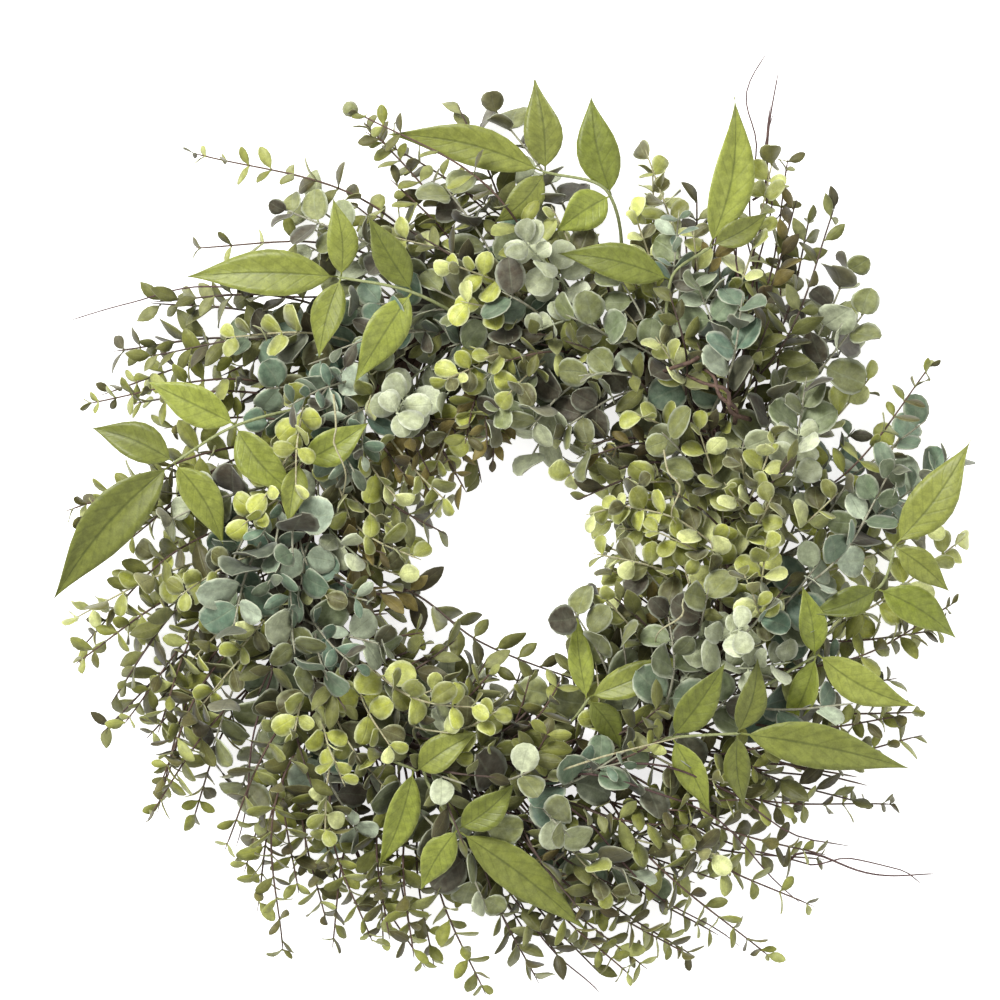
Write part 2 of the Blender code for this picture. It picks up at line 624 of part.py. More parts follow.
def laurel_leaves(line, marks, stops, kind, filled, stem, rng):
    """The knots of a laurel stem, whose leaves point where the table says, and the leaf at its tip."""
    knots = []
    tip_leaf = None
    for share, stop in zip(marks, stops):
        point, tangent = line.at(share)
        wishes = []
        for heading, length, width, tilt in stop[3]:
            turn, rise = math.radians(heading), math.radians(tilt)
            along = Vector((math.cos(turn) * math.cos(rise), math.sin(turn) * math.cos(rise), math.sin(rise)))
            wishes.append((along, length * MM, width * MM))
        wishes.sort(key=lambda wish: -wish[0].dot(tangent))
        if stop is stops[-1] and wishes[0][0].dot(tangent) > TIP_LEAN:
            along, length, width = wishes.pop(0)
            end = line.at(1)[0]
            wish = make_leaf(end, tangent, along, UP, rng.uniform(-10, 10), length, width, SHAPES["laurel"])
            tip_leaf = settle_leaf(wish, filled, stem, rng, LAUREL_TRIES)
        leaves = []
        outs = []
        for along, length, width in wishes:
            across = (along - tangent * along.dot(tangent)).normalized()
            if not outs:
                side, upward = frame_of(tangent)
                ring_roll = math.degrees(math.atan2(across.dot(upward), across.dot(side)))
                outs = [way_across(tangent, ring_roll + quarter) for quarter in (0, 90, 180, 270)]
            out = max(outs, key=across.dot)
            outs.remove(out)
            base = point + out * thickness_at(share, kind) * math.cos(math.pi / 4)
            wish = make_leaf(base, out, along, UP, rng.uniform(-12, 12), length, width, SHAPES["laurel"])
            leaf = settle_leaf(wish, filled, stem, rng, LAUREL_TRIES)
            if leaf:
                leaves.append(leaf)
        knots.append(Knot(share, ring_roll, leaves, []))
    return knots, tip_leaf


def grow(bm, face, corners):
    """Extrudes a face to these corners, matched to its own with the least twist, and returns the new face."""
    middle = face.calc_center_median()
    target = sum(corners, Vector()) / len(corners)
    spokes = [(loop.vert.co - middle).normalized() for loop in face.loops]
    aims = [(corner - target).normalized() for corner in corners]
    shifts = range(len(corners))
    shift = max(shifts, key=lambda n: sum(s.dot(a) for s, a in zip(spokes, aims[n:] + aims[:n])))
    new = bmesh.ops.extrude_discrete_faces(bm, faces=[face])["faces"][0]
    for loop, point in zip(new.loops, corners[shift:] + corners[:shift]):
        loop.vert.co = point
    return new, shift


def sides_of(cap):
    """The faces that join a grown cap to what it grew from, in the order of its corners."""
    return [next(f for f in loop.edge.link_faces if f is not cap) for loop in cap.loops]


def close_form(bm):
    """Fills what is open and turns every face outwards."""
    open_edges = [edge for edge in bm.edges if edge.is_boundary]
    if open_edges:
        bmesh.ops.holes_fill(bm, edges=open_edges, sides=0)
    bmesh.ops.recalc_face_normals(bm, faces=bm.faces[:])


def draw_point(bm, cap, point):
    """Closes a tube in a point."""
    bmesh.ops.poke(bm, faces=[cap])["verts"][0].co = point


def add_leaf(bm, face, leaf):
    """Grows a leaf out of a face. Behind each section the four sides are split from a corner at the blade's
    edge to one at its middle, so that the upper and lower faces of a waved blade stay alike."""
    cap = face
    for section in blade_sections(leaf):
        before = [loop.vert for loop in cap.loops]
        cap, shift = grow(bm, cap, section)
        corners = [loop.vert for loop in cap.loops]
        for index, side in enumerate(sides_of(cap)):
            after = (index + 1) % 4
            at_edge = (index + shift) % 2 == 0
            ends = (before[index], corners[after]) if at_edge else (before[after], corners[index])
            bmesh.utils.face_split(side, *ends)
    draw_point(bm, cap, blade_point(leaf, 1, 0, 0))


def grow_shoot(bm, cap, shoot, kind, sides):
    """Grows a stem section by section from a face, then its leaves and further shoots out of its sides."""
    line = shoot.line
    knots = {knot.share: knot for knot in shoot.knots}
    sprouts = []
    pending = None
    roll = shoot.roll
    rings = ring_shares(line, shoot.lead, sorted(knots), kind)
    for share, mark in rings[1:] if cap else rings:
        point, tangent = line.at(share)
        if mark is not None:
            roll = knots[mark].roll
        radius = thickness_at(share, kind)
        if shoot.out is None and share <= shoot.lead:
            radius *= HEEL
        corners = ring_corners(point, tangent, radius, roll, sides)
        if cap is None:
            cap = bm.faces.new([bm.verts.new(corner) for corner in corners])
            cap.normal_update()
            continue
        cap = grow(bm, cap, corners)[0]
        if pending:
            sprouts.append((sides_of(cap), pending))
        pending = knots[mark] if mark is not None else None
    end, tangent = line.at(1)
    if shoot.tip_leaf:
        add_leaf(bm, cap, shoot.tip_leaf)
    else:
        if shoot.bud:
            for ahead, share in ((0, 0.3), (0.5, 0.9), (1.3, 0.9)):
                point = end + tangent * BUD_RADIUS * ahead
                cap = grow(bm, cap, ring_corners(point, tangent, BUD_RADIUS * share, roll, sides))[0]
            end = end + tangent * BUD_RADIUS * 1.5
        draw_point(bm, cap, end + tangent * 1.5 * MM)
    for faces, knot in sprouts:
        left = list(faces)
        for growth in knot.leaves + knot.shoots:
            for face in left:
                face.normal_update()
            face = max(left, key=lambda f: f.normal.dot(growth.out))
            left.remove(face)
            if isinstance(growth, Leaf):
                add_leaf(bm, face, growth)
            else:
                grow_shoot(bm, face, growth, kind, 4)


def build_spray(name, kind, shoot):
    """One spray as one closed body."""
    bm = bmesh.new()
    grow_shoot(bm, None, shoot, kind, kind.sides)
    close_form(bm)
    return finish_node(name, bm)


def finish_node(name, bm):
    """Makes one object of a mesh, with its finish."""
    mesh = bpy.data.meshes.new(name)
    bm.to_mesh(mesh)
    bm.free()
    obj = bpy.data.objects.new(name, mesh)
    obj.data.materials.append(finish(name.split("_")[0]))
    bpy.context.collection.objects.link(obj)
    return obj


def finish(name):
    """The material of a kind of piece."""
    name = "vine" if name == "tie" else name
    if name in bpy.data.materials:
        return bpy.data.materials[name]
    colour, roughness = FINISHES[name]
    material = bpy.data.materials.new(name)
    material.use_nodes = True
    shader = material.node_tree.nodes["Principled BSDF"]
    shader.inputs["Base Color"].default_value = (*colour, 1)
    shader.inputs["Roughness"].default_value = roughness
    shader.inputs["Metallic"].default_value = 0
    return material


def vine_sections():
    """The thick vine's sections, thinned at both ends."""
    last = VINE_TURNS * VINE_STEPS - 2
    sections = []
    for step in range(last + 1):
        middle, normal, across, radius = vine_section(step)
        radius *= min(1.0, 0.45 + 0.3 * step, 0.4 + 0.2 * (last - step))
        sections.append(polygon(middle, normal, across, radius, VINE_SIDES))
    return sections


def tie_sections():
    """The thin vine's sections. It starts and ends under the ring."""
    sections = []
    last = TIE_TURNS * TIE_STEPS - 4
    for step in range(last + 1):
        turn = step * math.tau / (TIE_TURNS * TIE_STEPS)
        side = step * math.tau / TIE_STEPS - math.pi / 2
        middle, normal = round_core(turn, side, TIE_OFFSET)
        ahead = round_core(turn + 0.01, side + 0.01 * TIE_TURNS, TIE_OFFSET)[0]
        tangent = (ahead - middle).normalized()
        across = tangent.cross(normal).normalized()
        radius = TIE_RADIUS * min(1.0, 0.6 + 0.2 * (last - step))
        sections.append(polygon(middle, normal, across, radius, TIE_SIDES))
    return sections


def polygon(middle, normal, across, radius, sides):
    """A regular section with one flat side towards the normal."""
    corners = []
    for index in range(sides):
        angle = math.pi / sides + index * math.tau / sides
        corners.append(middle + radius * (math.cos(angle) * normal + math.sin(angle) * across))
    return corners


def build_tube(name, sections, shaved=False):
    """A closed tube through its sections. A shaved one is cut flat where it would go under the surface."""
    bm = bmesh.new()
    cap = bm.faces.new([bm.verts.new(corner) for corner in sections[0]])
    for corners in sections[1:]:
        before = [loop.vert for loop in cap.loops]
        cap = grow(bm, cap, corners)[0]
        after = [loop.vert for loop in cap.loops]
        for index, side in enumerate(sides_of(cap)):
            bmesh.utils.face_split(side, before[index], after[(index + 1) % len(after)])
    close_form(bm)
    if shaved:
        everything = bm.verts[:] + bm.edges[:] + bm.faces[:]
        bmesh.ops.bisect_plane(bm, geom=everything, plane_co=(0, 0, 0), plane_no=(0, 0, -1), clear_outer=True)
        close_form(bm)
    return finish_node(name, bm)


def tube_space(sections):
    """The space that a tube takes."""
    ends = [sum(section, Vector()) / len(section) for section in (sections[0], sections[-1])]
    return closed_form(sections, ends)


def fork_shares(kind_name, ways):
    """Where the further shoots of a spray leave its stem."""
    return (TWIG_FORKS if kind_name == "twig" else FORKS)[: len(ways) - 1]


def spray_plan():
    """Every spray, as its name, kind, root angle, side of the ring, and the ways of its shoots."""
    sprays = []
    for name, (root, stops) in LAURELS.items():
        sprays.append((name, "laurel", root, 80, [[plan(*stop[:3]) for stop in stops]]))
    for kind_name in ("twig", "olive", "frost", "willow", "dollar", "baby"):
        for number, (root, side, *ways) in enumerate(SPRAYS[kind_name], 1):
            routes = [[plan(*point) for point in way] for way in ways]
            sprays.append((f"{kind_name}_{number}", kind_name, root, side, routes))
    return sprays


def route_spray(number, plan_of_spray, filled):
    """Routes a spray's stem and its further shoots, or returns None."""
    name, kind_name, degrees, side, ways = plan_of_spray
    rng = random.Random(SEED + number)
    kind = KINDS[kind_name]
    forks = fork_shares(kind_name, ways)
    pairs = pair_marks(kind) if kind.pairs else []

    def marks_of(line):
        if name in LAURELS:
            return stop_marks(line, LAURELS[name][1])
        return sorted([*forks, *pairs]) or [0.5]

    found = route_stem(degrees, side, ways[0], kind, marks_of, filled, rng)
    if not found:
        print("no room for the stem of", name)
        return None
    line, lead, roll, marks, space = found
    shoots = []
    for share, way in zip(forks, ways[1:]):
        found = route_shoot(line, space, share, way, kind, pairs, filled, rng)
        if found:
            shoots.append((share, *found))
        else:
            print("no room for a shoot of", name)
    return name, kind, line, lead, roll, marks, pairs, space, shoots, rng


def leaf_spray(name, kind, line, lead, roll, marks, pairs, space, shoots, rng, filled):
    """Settles the leaves of a routed spray, and returns it as its name, kind and first shoot."""
    if name in LAURELS:
        knots, tip_leaf = laurel_leaves(line, marks, LAURELS[name][1], kind, filled, space, rng)
        return name, kind, Shoot(line, lead, None, roll, knots, tip_leaf, False)
    knots = paired_leaves(line, pairs, kind, kind.sides, filled, space, rng)
    for share, way, joint, out, shoot_space in shoots:
        shoot_knots = paired_leaves(way, pairs, kind, 4, filled, shoot_space, rng)
        side, upward = frame_of(line.at(share)[1])
        turn = math.degrees(math.atan2(out.dot(upward), out.dot(side)))
        knots.append(Knot(share, turn, [], [Shoot(way, joint, out, 90, shoot_knots, None, False)]))
    knots.sort(key=lambda knot: knot.share)
    return name, kind, Shoot(line, lead, None, roll, knots, None, name == BUD_SPRAY)


def lay_out():
    """Routes every stem and settles every leaf, the laurels first, so that their leaves keep their places."""
    filled = Filled()
    filled.add(tube_space(vine_sections()))
    filled.add(tube_space(tie_sections()))
    plans = list(enumerate(spray_plan()))
    sprays = []
    for group in (plans[: len(LAURELS)], plans[len(LAURELS) :]):
        routed = [route_spray(number, spray, filled) for number, spray in group]
        sprays += [leaf_spray(*found, filled) for found in routed if found]
    return sprays


def main():
    """Builds the wreath, one object for each of its pieces."""
    for obj in list(bpy.data.objects):
        bpy.data.objects.remove(obj)
    build_tube("vine", vine_sections())
    build_tube("tie", tie_sections(), shaved=True)
    for name, kind, shoot in lay_out():
        build_spray(name, kind, shoot)


main()
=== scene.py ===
# %% [markdown]
# # A eucalyptus wreath on a vine ring
#
# The wreath lies on its back on a pale floor, and the camera looks straight down at it. A ring of twisted
# vine carries stems of large laurel leaves, sprays of round and narrow eucalyptus leaves, pale powdery tufts
# and a few bare twigs, which all sweep round it the same way.
#
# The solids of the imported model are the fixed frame. Each one is a plain, faceted stand-in, so this script
# lays the same sprays out again from the same tables and random draws, and puts finer leaves and stems in
# their place.

# %% Load the frame
import json
import math
import random
from collections import namedtuple

import bmesh
import bpy
import numpy as np
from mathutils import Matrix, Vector, noise
from mathutils.bvhtree import BVHTree

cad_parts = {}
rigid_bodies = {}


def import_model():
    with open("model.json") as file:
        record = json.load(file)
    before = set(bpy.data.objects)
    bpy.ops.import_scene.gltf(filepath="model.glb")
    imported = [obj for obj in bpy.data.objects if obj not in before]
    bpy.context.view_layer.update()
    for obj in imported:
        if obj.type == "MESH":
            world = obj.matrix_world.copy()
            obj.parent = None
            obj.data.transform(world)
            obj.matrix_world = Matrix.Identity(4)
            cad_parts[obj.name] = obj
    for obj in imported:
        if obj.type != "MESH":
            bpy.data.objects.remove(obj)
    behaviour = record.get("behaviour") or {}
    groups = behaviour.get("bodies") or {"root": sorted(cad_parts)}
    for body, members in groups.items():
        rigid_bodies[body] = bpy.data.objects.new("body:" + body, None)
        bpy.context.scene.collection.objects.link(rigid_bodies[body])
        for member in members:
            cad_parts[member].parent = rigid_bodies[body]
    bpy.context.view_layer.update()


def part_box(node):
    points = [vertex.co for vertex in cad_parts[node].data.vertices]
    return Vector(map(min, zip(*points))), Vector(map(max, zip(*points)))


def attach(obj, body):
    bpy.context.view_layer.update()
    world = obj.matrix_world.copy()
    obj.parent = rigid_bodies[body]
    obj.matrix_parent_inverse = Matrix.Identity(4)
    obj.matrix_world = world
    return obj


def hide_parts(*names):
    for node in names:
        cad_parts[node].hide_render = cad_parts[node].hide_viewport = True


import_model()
scene = bpy.context.scene

# %% [markdown]
# ## Camera
#
# The photo looks straight down on the wreath, from so far that near and far leaves are drawn at the same
# scale. A long lens high above the floor does the same. It is aimed at a level halfway up the leaves, and
# the strip that it sees there is as wide as the photo's, a little more than the wreath's 0.62 m.

# %% Camera
SENSOR_WIDTH = 36
PHOTO_WIDTH = 0.656
PHOTO_MIDDLE = Vector((-0.0063, 0.0158, 0.05))
CAMERA_DISTANCE = 5.0

camera = bpy.data.objects.new("camera", bpy.data.cameras.new("camera"))
camera.data.sensor_width = SENSOR_WIDTH
camera.data.lens = SENSOR_WIDTH * CAMERA_DISTANCE / PHOTO_WIDTH
camera.location = PHOTO_MIDDLE + Vector((0, 0, CAMERA_DISTANCE))
scene.collection.objects.link(camera)
scene.camera = camera
print("lens:", round(camera.data.lens), "mm")

# %% [markdown]
# ## The measures of the ring and of the leaves
#
# A real wreath of this kind starts as a hoop of grapevine, three turns twisted about each other and tied with
# a thinner vine. These are the measures that the solids were made with. They are repeated here because the
# layout below has to come out the same, leaf for leaf.

# %% Measures of the ring
MM = 0.001
UP = Vector((0, 0, 1))

# The ring of vine that carries everything
RING_CENTRE = Vector((3.5 * MM, -17 * MM, 0))
RING_RADIUS = 148 * MM
VINE_THICK = 5.9 * MM  # radius at its root end
VINE_THIN = 4.9 * MM  # radius at its tip end
VINE_OFFSET = 6.9 * MM  # from the ring's core line to the middle of the vine
VINE_TURNS = 3
VINE_TWISTS = 7  # in all the turns together, so the turns lie side by side
VINE_STEPS = 34  # in one turn
VINE_SIDES = 6
TIE_RADIUS = 2.2 * MM  # the thin vine wound round the thick one
TIE_TURNS = 11
TIE_STEPS = 10  # in one of its turns
TIE_SIDES = 5
VINE_LAST = VINE_TURNS * VINE_STEPS - 2  # the thick vine's last section
TIE_LAST = TIE_TURNS * TIE_STEPS - 4  # the thin vine's last section
REST_SHAVE = 0.5 * MM  # what the flat spots underneath take off the thin vine
CLEAR = 0.4 * MM  # kept free between pieces that pass or touch each other
TIE_OFFSET = (VINE_OFFSET + VINE_THICK + CLEAR + TIE_RADIUS) / math.cos(math.pi / TIE_STEPS)
CORE_HEIGHT = TIE_OFFSET + TIE_RADIUS * math.cos(math.pi / TIE_SIDES) - REST_SHAVE
FLOOR_CLEAR = 2 * MM
CEILING = 104 * MM

# The way through the middle of the wreath
HOLE_CENTRE = RING_CENTRE + Vector((3 * MM, 8 * MM, 0))
HOLE_RADIUS = 43 * MM

# %% [markdown]
# ## Leaf shapes and kinds of spray
#
# A leaf's outline can be one short formula: its half width rises from the stalk and falls to the tip, each
# with its own power. Two powers of about one half give a round leaf, and two of about one give a pointed one.
# A kind of spray then says how such leaves stand on a stem: how many pairs, how long and wide they are from
# the first pair to the last, how far they stand off the stem, and how far each pair is turned from the last.

# %% Leaf shapes and kinds of spray
# A blade's width rises and falls along its length as u**rise * (1 - u)**fall, after a stalk.
# Droop bends it down along its length and cup lifts its edges, both as shares of its size.
Shape = namedtuple("Shape", "rise fall stalk droop cup thick corners")
SHAPES = {
    "laurel": Shape(0.85, 1.30, 0.05, 0.15, 0.24, 1.2 * MM, (0.10, 0.30, 0.52, 0.78)),
    "dollar": Shape(0.50, 0.46, 0.08, 0.08, 0.12, 0.9 * MM, (0.20, 0.52, 0.84)),
    "young dollar": Shape(0.50, 0.46, 0.08, 0.08, 0.12, 0.9 * MM, (0.28, 0.80)),
    "baby": Shape(0.60, 0.44, 0.08, 0.10, 0.14, 0.8 * MM, (0.34, 0.80)),
    "olive": Shape(0.78, 0.86, 0.08, 0.12, 0.16, 0.9 * MM, (0.28, 0.68)),
    "willow": Shape(0.72, 0.62, 0.07, 0.12, 0.10, 0.8 * MM, (0.48,)),
}

# How each kind of spray grows: its leaves' shape, its stem's sides and radii, its pairs of leaves and
# where the first one is, the first leaf's length and width, and the last leaf's share of them. Splay is
# the angle between leaf and stem, turn is how far each pair is rolled round the stem from the last, face is
# how far the leaves' faces turn from up towards the stem's tip, arch is how high the stem bows, and spacing
# is the longest piece of stem without a section, 37 mm where the row doesn't say.
FIELDS = "shape sides thick thin pairs first length width small splay turn face arch spacing"
Kind = namedtuple("Kind", FIELDS, defaults=(37 * MM,))
KINDS = {
    "laurel": Kind("laurel", 4, 1.8 * MM, 1.2 * MM, 0, 0, 0, 0, 1, 60, 0, 0, 12 * MM),
    "dollar": Kind("dollar", 3, 1.5 * MM, 0.8 * MM, 4, 0.40, 30 * MM, 28 * MM, 0.62, 72, 60, 0.4, 12 * MM),
    "baby": Kind("baby", 3, 1.3 * MM, 0.7 * MM, 4, 0.42, 23 * MM, 19 * MM, 0.60, 68, 70, 0.4, 10 * MM),
    "frost": Kind("baby", 3, 1.4 * MM, 0.8 * MM, 3, 0.62, 22 * MM, 20 * MM, 0.80, 80, 80, 0.3, 8 * MM),
    "olive": Kind("olive", 3, 1.3 * MM, 0.7 * MM, 6, 0.26, 29 * MM, 14 * MM, 0.55, 60, 40, 0.3, 10 * MM),
    "willow": Kind("willow", 3, 1.2 * MM, 0.7 * MM, 6, 0.36, 25 * MM, 13 * MM, 0.44, 72, 75, 0.5, 12 * MM),
    "twig": Kind("willow", 3, 1.5 * MM, 0.7 * MM, 0, 0, 0, 0, 1, 0, 0, 0, 10 * MM, 18 * MM),
}

# %% [markdown]
# ## Where the sprays go
#
# The laurel leaves are so large that each one was placed from the photo. The other sprays only have their
# root on the ring and the points that their stems pass, as an angle, a reach and a height about the ring's
# middle.

# %% Tables of the sprays
# Laurel stems, read clockwise from the right of the wreath. A stem is where it leaves the ring, in
# degrees, and then its knots, each at an angle, a reach and a height (mm), with the leaves that grow
# there: the way each points in plan (degrees), its length and width (mm), and its tilt (degrees).
LAURELS = {
    "laurel_1": (330, ((354, 239, 62, ((329, 60, 25, 4), (200, 46, 20, 14))),
                       (361, 249, 70, ((55, 83, 30, 14), (320, 44, 20, 8))))),
    "laurel_2": (308, ((341, 210, 58, ((332, 72, 25, 2), (231, 56, 20, 6), (100, 46, 19, 16))),)),
    "laurel_3": (284, ((310, 160, 68, ((54, 60, 24, 20), (295, 56, 20, -8))),
                       (321, 190, 74, ((347, 112, 30, 2), (73, 50, 20, 22), (276, 50, 18, -12))))),
    "laurel_4": (268, ((297, 108, 56, ((96, 58, 17, 10), (25, 68, 22, 14), (305, 40, 19, -6))),)),
    "laurel_5": (232, ((259, 188, 62, ((322, 106, 28, -4), (41, 48, 23, 18), (238, 48, 22, -8))),)),
    "laurel_6": (220, ((246, 158, 64, ((252, 70, 22, -6), (34, 46, 23, 20))),)),
    "laurel_7": (138, ((156, 200, 66, ((155, 64, 26, 6), (310, 60, 26, 12), (52, 44, 22, 20))),
                       (166, 232, 60, ((229, 120, 35, -4), (156, 58, 26, 2), (301, 62, 24, 4))))),
    "laurel_8": (96, ((112, 182, 76, ((239, 68, 27, 8), (120, 56, 23, 10))),
                      (123, 213, 68, ((180, 98, 31, 2), (95, 50, 21, 14), (254, 54, 22, 6))))),
    "laurel_9": (52, ((75, 241, 50, ((104, 66, 28, 12), (214, 42, 27, 14))),
                      (86, 249, 56, ((167, 104, 27, 2), (97, 59, 26, 10), (226, 46, 22, 6))))),
    "laurel_10": (34, ((60, 203, 72, ((167, 74, 25, 6),)),
                       (57, 238, 66, ((79, 98, 29, 8), (32, 42, 18, 6))))),
    "laurel_11": (146, ((158, 152, 70, ((29, 50, 24, 14), (250, 46, 20, 4))),)),
}

# The other sprays, anticlockwise from the right. Each is where it leaves the ring (degrees), how far it
# is rolled round the ring there (0 outside, 90 on top, 180 inside), and the way of each of its shoots,
# as points at an angle, a reach and a height (mm) that end at its tip.
SPRAYS = {
    "willow": (
        (330, 10, ((353, 291, 26),)),
        (358, 30, ((24, 300, 34),)),
        (22, 20, ((55, 314, 20),)),
        (80, 30, ((110, 306, 46),)),
        (98, 20, ((129, 336, 30),), ((137, 292, 14),)),
        (132, 20, ((161, 296, 38),)),
        (164, 10, ((193, 295, 20),)),
        (174, 30, ((204, 281, 42),), ((214, 279, 16),)),
        (204, 20, ((240, 306, 22),), ((226, 275, 34),)),
        (220, 30, ((250, 274, 40),), ((258, 283, 14),)),
        (256, 20, ((285, 289, 32),)),
        (276, 20, ((302, 316, 20),), ((310, 306, 42),), ((315, 289, 20),)),
        (298, 10, ((326, 300, 26),)),
    ),
    "olive": (
        (172, 150, ((202, 74, 34), (250, 66, 38), (300, 104, 30))),
        (122, 10, ((152, 272, 26),)),
        (248, 10, ((276, 268, 26),)),
        (16, 40, ((47, 308, 42),)),
    ),
    "dollar": (
        (342, 60, ((12, 252, 54),), ((352, 216, 40),)),
        (8, 50, ((38, 238, 40),)),
        (30, 90, ((56, 212, 66),), ((64, 156, 64),)),
        (38, 150, ((68, 86, 56),)),
        (66, 140, ((97, 92, 60),), ((104, 160, 66),)),
        (94, 50, ((124, 270, 36),)),
        (118, 90, ((146, 162, 66),), ((142, 226, 44),)),
        (160, 60, ((188, 196, 52),)),
        (182, 140, ((216, 106, 62),), ((218, 188, 50),)),
        (214, 60, ((241, 212, 44),)),
        (222, 140, ((250, 104, 58),)),
        (240, 70, ((270, 214, 48),)),
        (270, 60, ((294, 236, 36),), ((300, 150, 62),)),
        (306, 110, ((334, 176, 44),), ((338, 108, 60),)),
    ),
    "baby": (
        (346, 150, ((24, 74, 64),), ((8, 92, 72),)),
        (356, 90, ((24, 186, 80),), ((34, 144, 78),)),
        (42, 70, ((70, 232, 52),)),
        (72, 90, ((102, 190, 82),)),
        (80, 150, ((112, 120, 76),), ((133, 76, 54),)),
        (136, 90, ((165, 148, 84),)),
        (172, 60, ((200, 192, 64),)),
        (212, 110, ((264, 104, 76),), ((238, 152, 80),)),
        (322, 90, ((354, 150, 84),)),
    ),
    "frost": (
        (112, 100, ((131, 118, 92),)),
        (324, 90, ((341, 156, 96),)),
        (72, 90, ((88, 200, 88),)),
    ),
    "twig": (
        (112, 0, ((141, 272, 30), (147.5, 306, 30), (153, 329, 24))),
        (30, 40, ((50, 243, 40), (56.5, 282, 42), (59.5, 309, 46), (63, 334, 42), (62.8, 366, 44)),
         ((61.3, 356, 58),), ((60, 338, 30),)),
        (286, 0, ((312.5, 284, 24), (317.5, 299, 32), (320.5, 330, 28), (320.3, 347, 16)),
         ((322.3, 352, 26),)),
        (250, 0, ((276, 268, 14), (280.5, 299, 20))),
    ),
}
FORKS = (0.21, 0.27)  # the shares of a leafy stem's length at which its further shoots leave it
TWIG_FORKS = (0.64, 0.50)  # the same for a bare twig
SEED = 428  # of the sprays' random turns
BUD_SPRAY = "willow_4"
BUD_RADIUS = 5 * MM
KNOT_LENGTH = 2.3 * MM  # of stem, at each pair of leaves

# Where a stem's cut end may lie on the ring's vine: how far from what is asked, round the ring and round the
# vine (degrees), how much a turn round the vine and another side of it count against a place, along which
# part of a piece of vine, and how high over it (mm)
ROOT_REACH = 45
ROOT_ROLL = 110
ROLL_WEIGHT = 0.25
SIDE_WEIGHT = 4
ROOT_PART = (0.12, 0.62)
ROOT_LIFTS = (0.4, 0.55, 0.7, 0.85, 1.0, 1.15, 1.3)

# How a stem starts, and how much room it is given
STEM_LEAD = 13 * MM  # how far it follows the vine at first
STEM_LIFT = 5 * MM  # how far it rises off the vine meanwhile
SHOOT_LEAD = 9  # the length of a shoot's first bend, off its stem (mm)
BEND_LIMIT = 0.55  # the least cosine between two straight pieces of a stem that follow each other

# How many times a line or a leaf is tried, each time a little looser
STEM_TRIES = 28
SHOOT_TRIES = 40
PAIR_TRIES = 16
LAUREL_TRIES = 30

# How far a leaf may turn from what is wished, in degrees, and shrink, as a share of its size
LEAF_YAW = 28
LEAF_PITCH = 42
LEAF_ROLL = 45
LEAF_SHRINK = 0.3
LEAST_LEAN = 0.3  # the least cosine between a leaf and the way out of the side of the stem it grows from
TIP_LEAN = 0.45  # the least cosine between a laurel leaf and the stem that it ends

# %% Records of the layout
Root = namedtuple("Root", "start end normal")
Leaf = namedtuple("Leaf", "base out along side normal length half_width shape")
Knot = namedtuple("Knot", "share leaves shoots")
Shoot = namedtuple("Shoot", "line knots tip_leaf")


def plan(degrees, reach, height):
    """The point at this angle and reach (mm) from the ring's middle, at this height (mm)."""
    turn = math.radians(degrees)
    return RING_CENTRE + Vector((math.cos(turn) * reach * MM, math.sin(turn) * reach * MM, height * MM))


def frame_of(tangent):
    """Two ways across a line: sideways, and as near to up as it can be."""
    side = (UP + Vector((0.21, 0.13, 0))).cross(tangent).normalized()
    return side, tangent.cross(side).normalized()


def way_across(tangent, roll):
    """The way across a line at this angle (degrees) round it."""
    side, upward = frame_of(tangent)
    return side * math.cos(math.radians(roll)) + upward * math.sin(math.radians(roll))


def ring_corners(point, tangent, radius, roll, sides):
    """The corners of a stem's section. The side after the first corner faces the roll."""
    angles = [roll + (index - 0.5) * 360 / sides for index in range(sides)]
    return [point + radius * way_across(tangent, angle) for angle in angles]


def turned(vector, axis, degrees):
    """The vector turned about an axis."""
    turn = math.radians(degrees)
    return (
        vector * math.cos(turn)
        + axis.cross(vector) * math.sin(turn)
        + axis * axis.dot(vector) * (1 - math.cos(turn))
    )

# %% [markdown]
# ## Room for each leaf
#
# Leaves on a real wreath push each other aside. Here each leaf and stem takes its space in a store of face
# trees, and a new one is turned a little, again and again, until its own tree overlaps none of them. The
# forms that are tested are as plain as the solids, and are never shown.

# %% Forms to test
def outline(shape, u):
    """A blade's half width at u along it, as a share of its widest."""
    inside = (u - shape.stalk) / (1 - shape.stalk)
    if not 0 < inside < 1:
        return 0.0
    peak = shape.rise / (shape.rise + shape.fall)
    widest = peak**shape.rise * (1 - peak) ** shape.fall
    return inside**shape.rise * (1 - inside) ** shape.fall / widest


def blade_point(leaf, u, v, lift):
    """A point of a leaf: u along it, v across it from -1 to 1, lifted off its middle surface."""
    half = leaf.half_width * max(outline(leaf.shape, u), 0.05)
    sag = -leaf.shape.droop * leaf.length * u * u
    height = sag + leaf.shape.cup * half * abs(v) + lift
    return leaf.base + leaf.along * leaf.length * u + leaf.side * half * v + leaf.normal * height


def blade_sections(leaf, spare=0.0):
    """The four corners of each of a blade's sections, left, top, right and bottom, with spare all round."""
    if spare:
        leaf = leaf._replace(half_width=leaf.half_width + spare)
    lift = leaf.shape.thick / 2 + spare
    return [
        [blade_point(leaf, u, *corner) for corner in ((-1, 0), (0, lift), (1, 0), (0, -lift))]
        for u in leaf.shape.corners
    ]


def closed_form(sections, ends):
    """Points and faces of a tube through the sections, closed by a point at each end, to test for room."""
    count = len(sections[0])
    points = [point for section in sections for point in section] + list(ends)
    faces = []
    for row in range(len(sections) - 1):
        for corner in range(count):
            low, high = row * count, (row + 1) * count
            after = (corner + 1) % count
            faces.append((low + corner, low + after, high + after))
            faces.append((low + corner, high + after, high + corner))
    last = (len(sections) - 1) * count
    for corner in range(count):
        after = (corner + 1) % count
        faces.append((after, corner, len(points) - 2))
        faces.append((last + corner, last + after, len(points) - 1))
    return points, faces


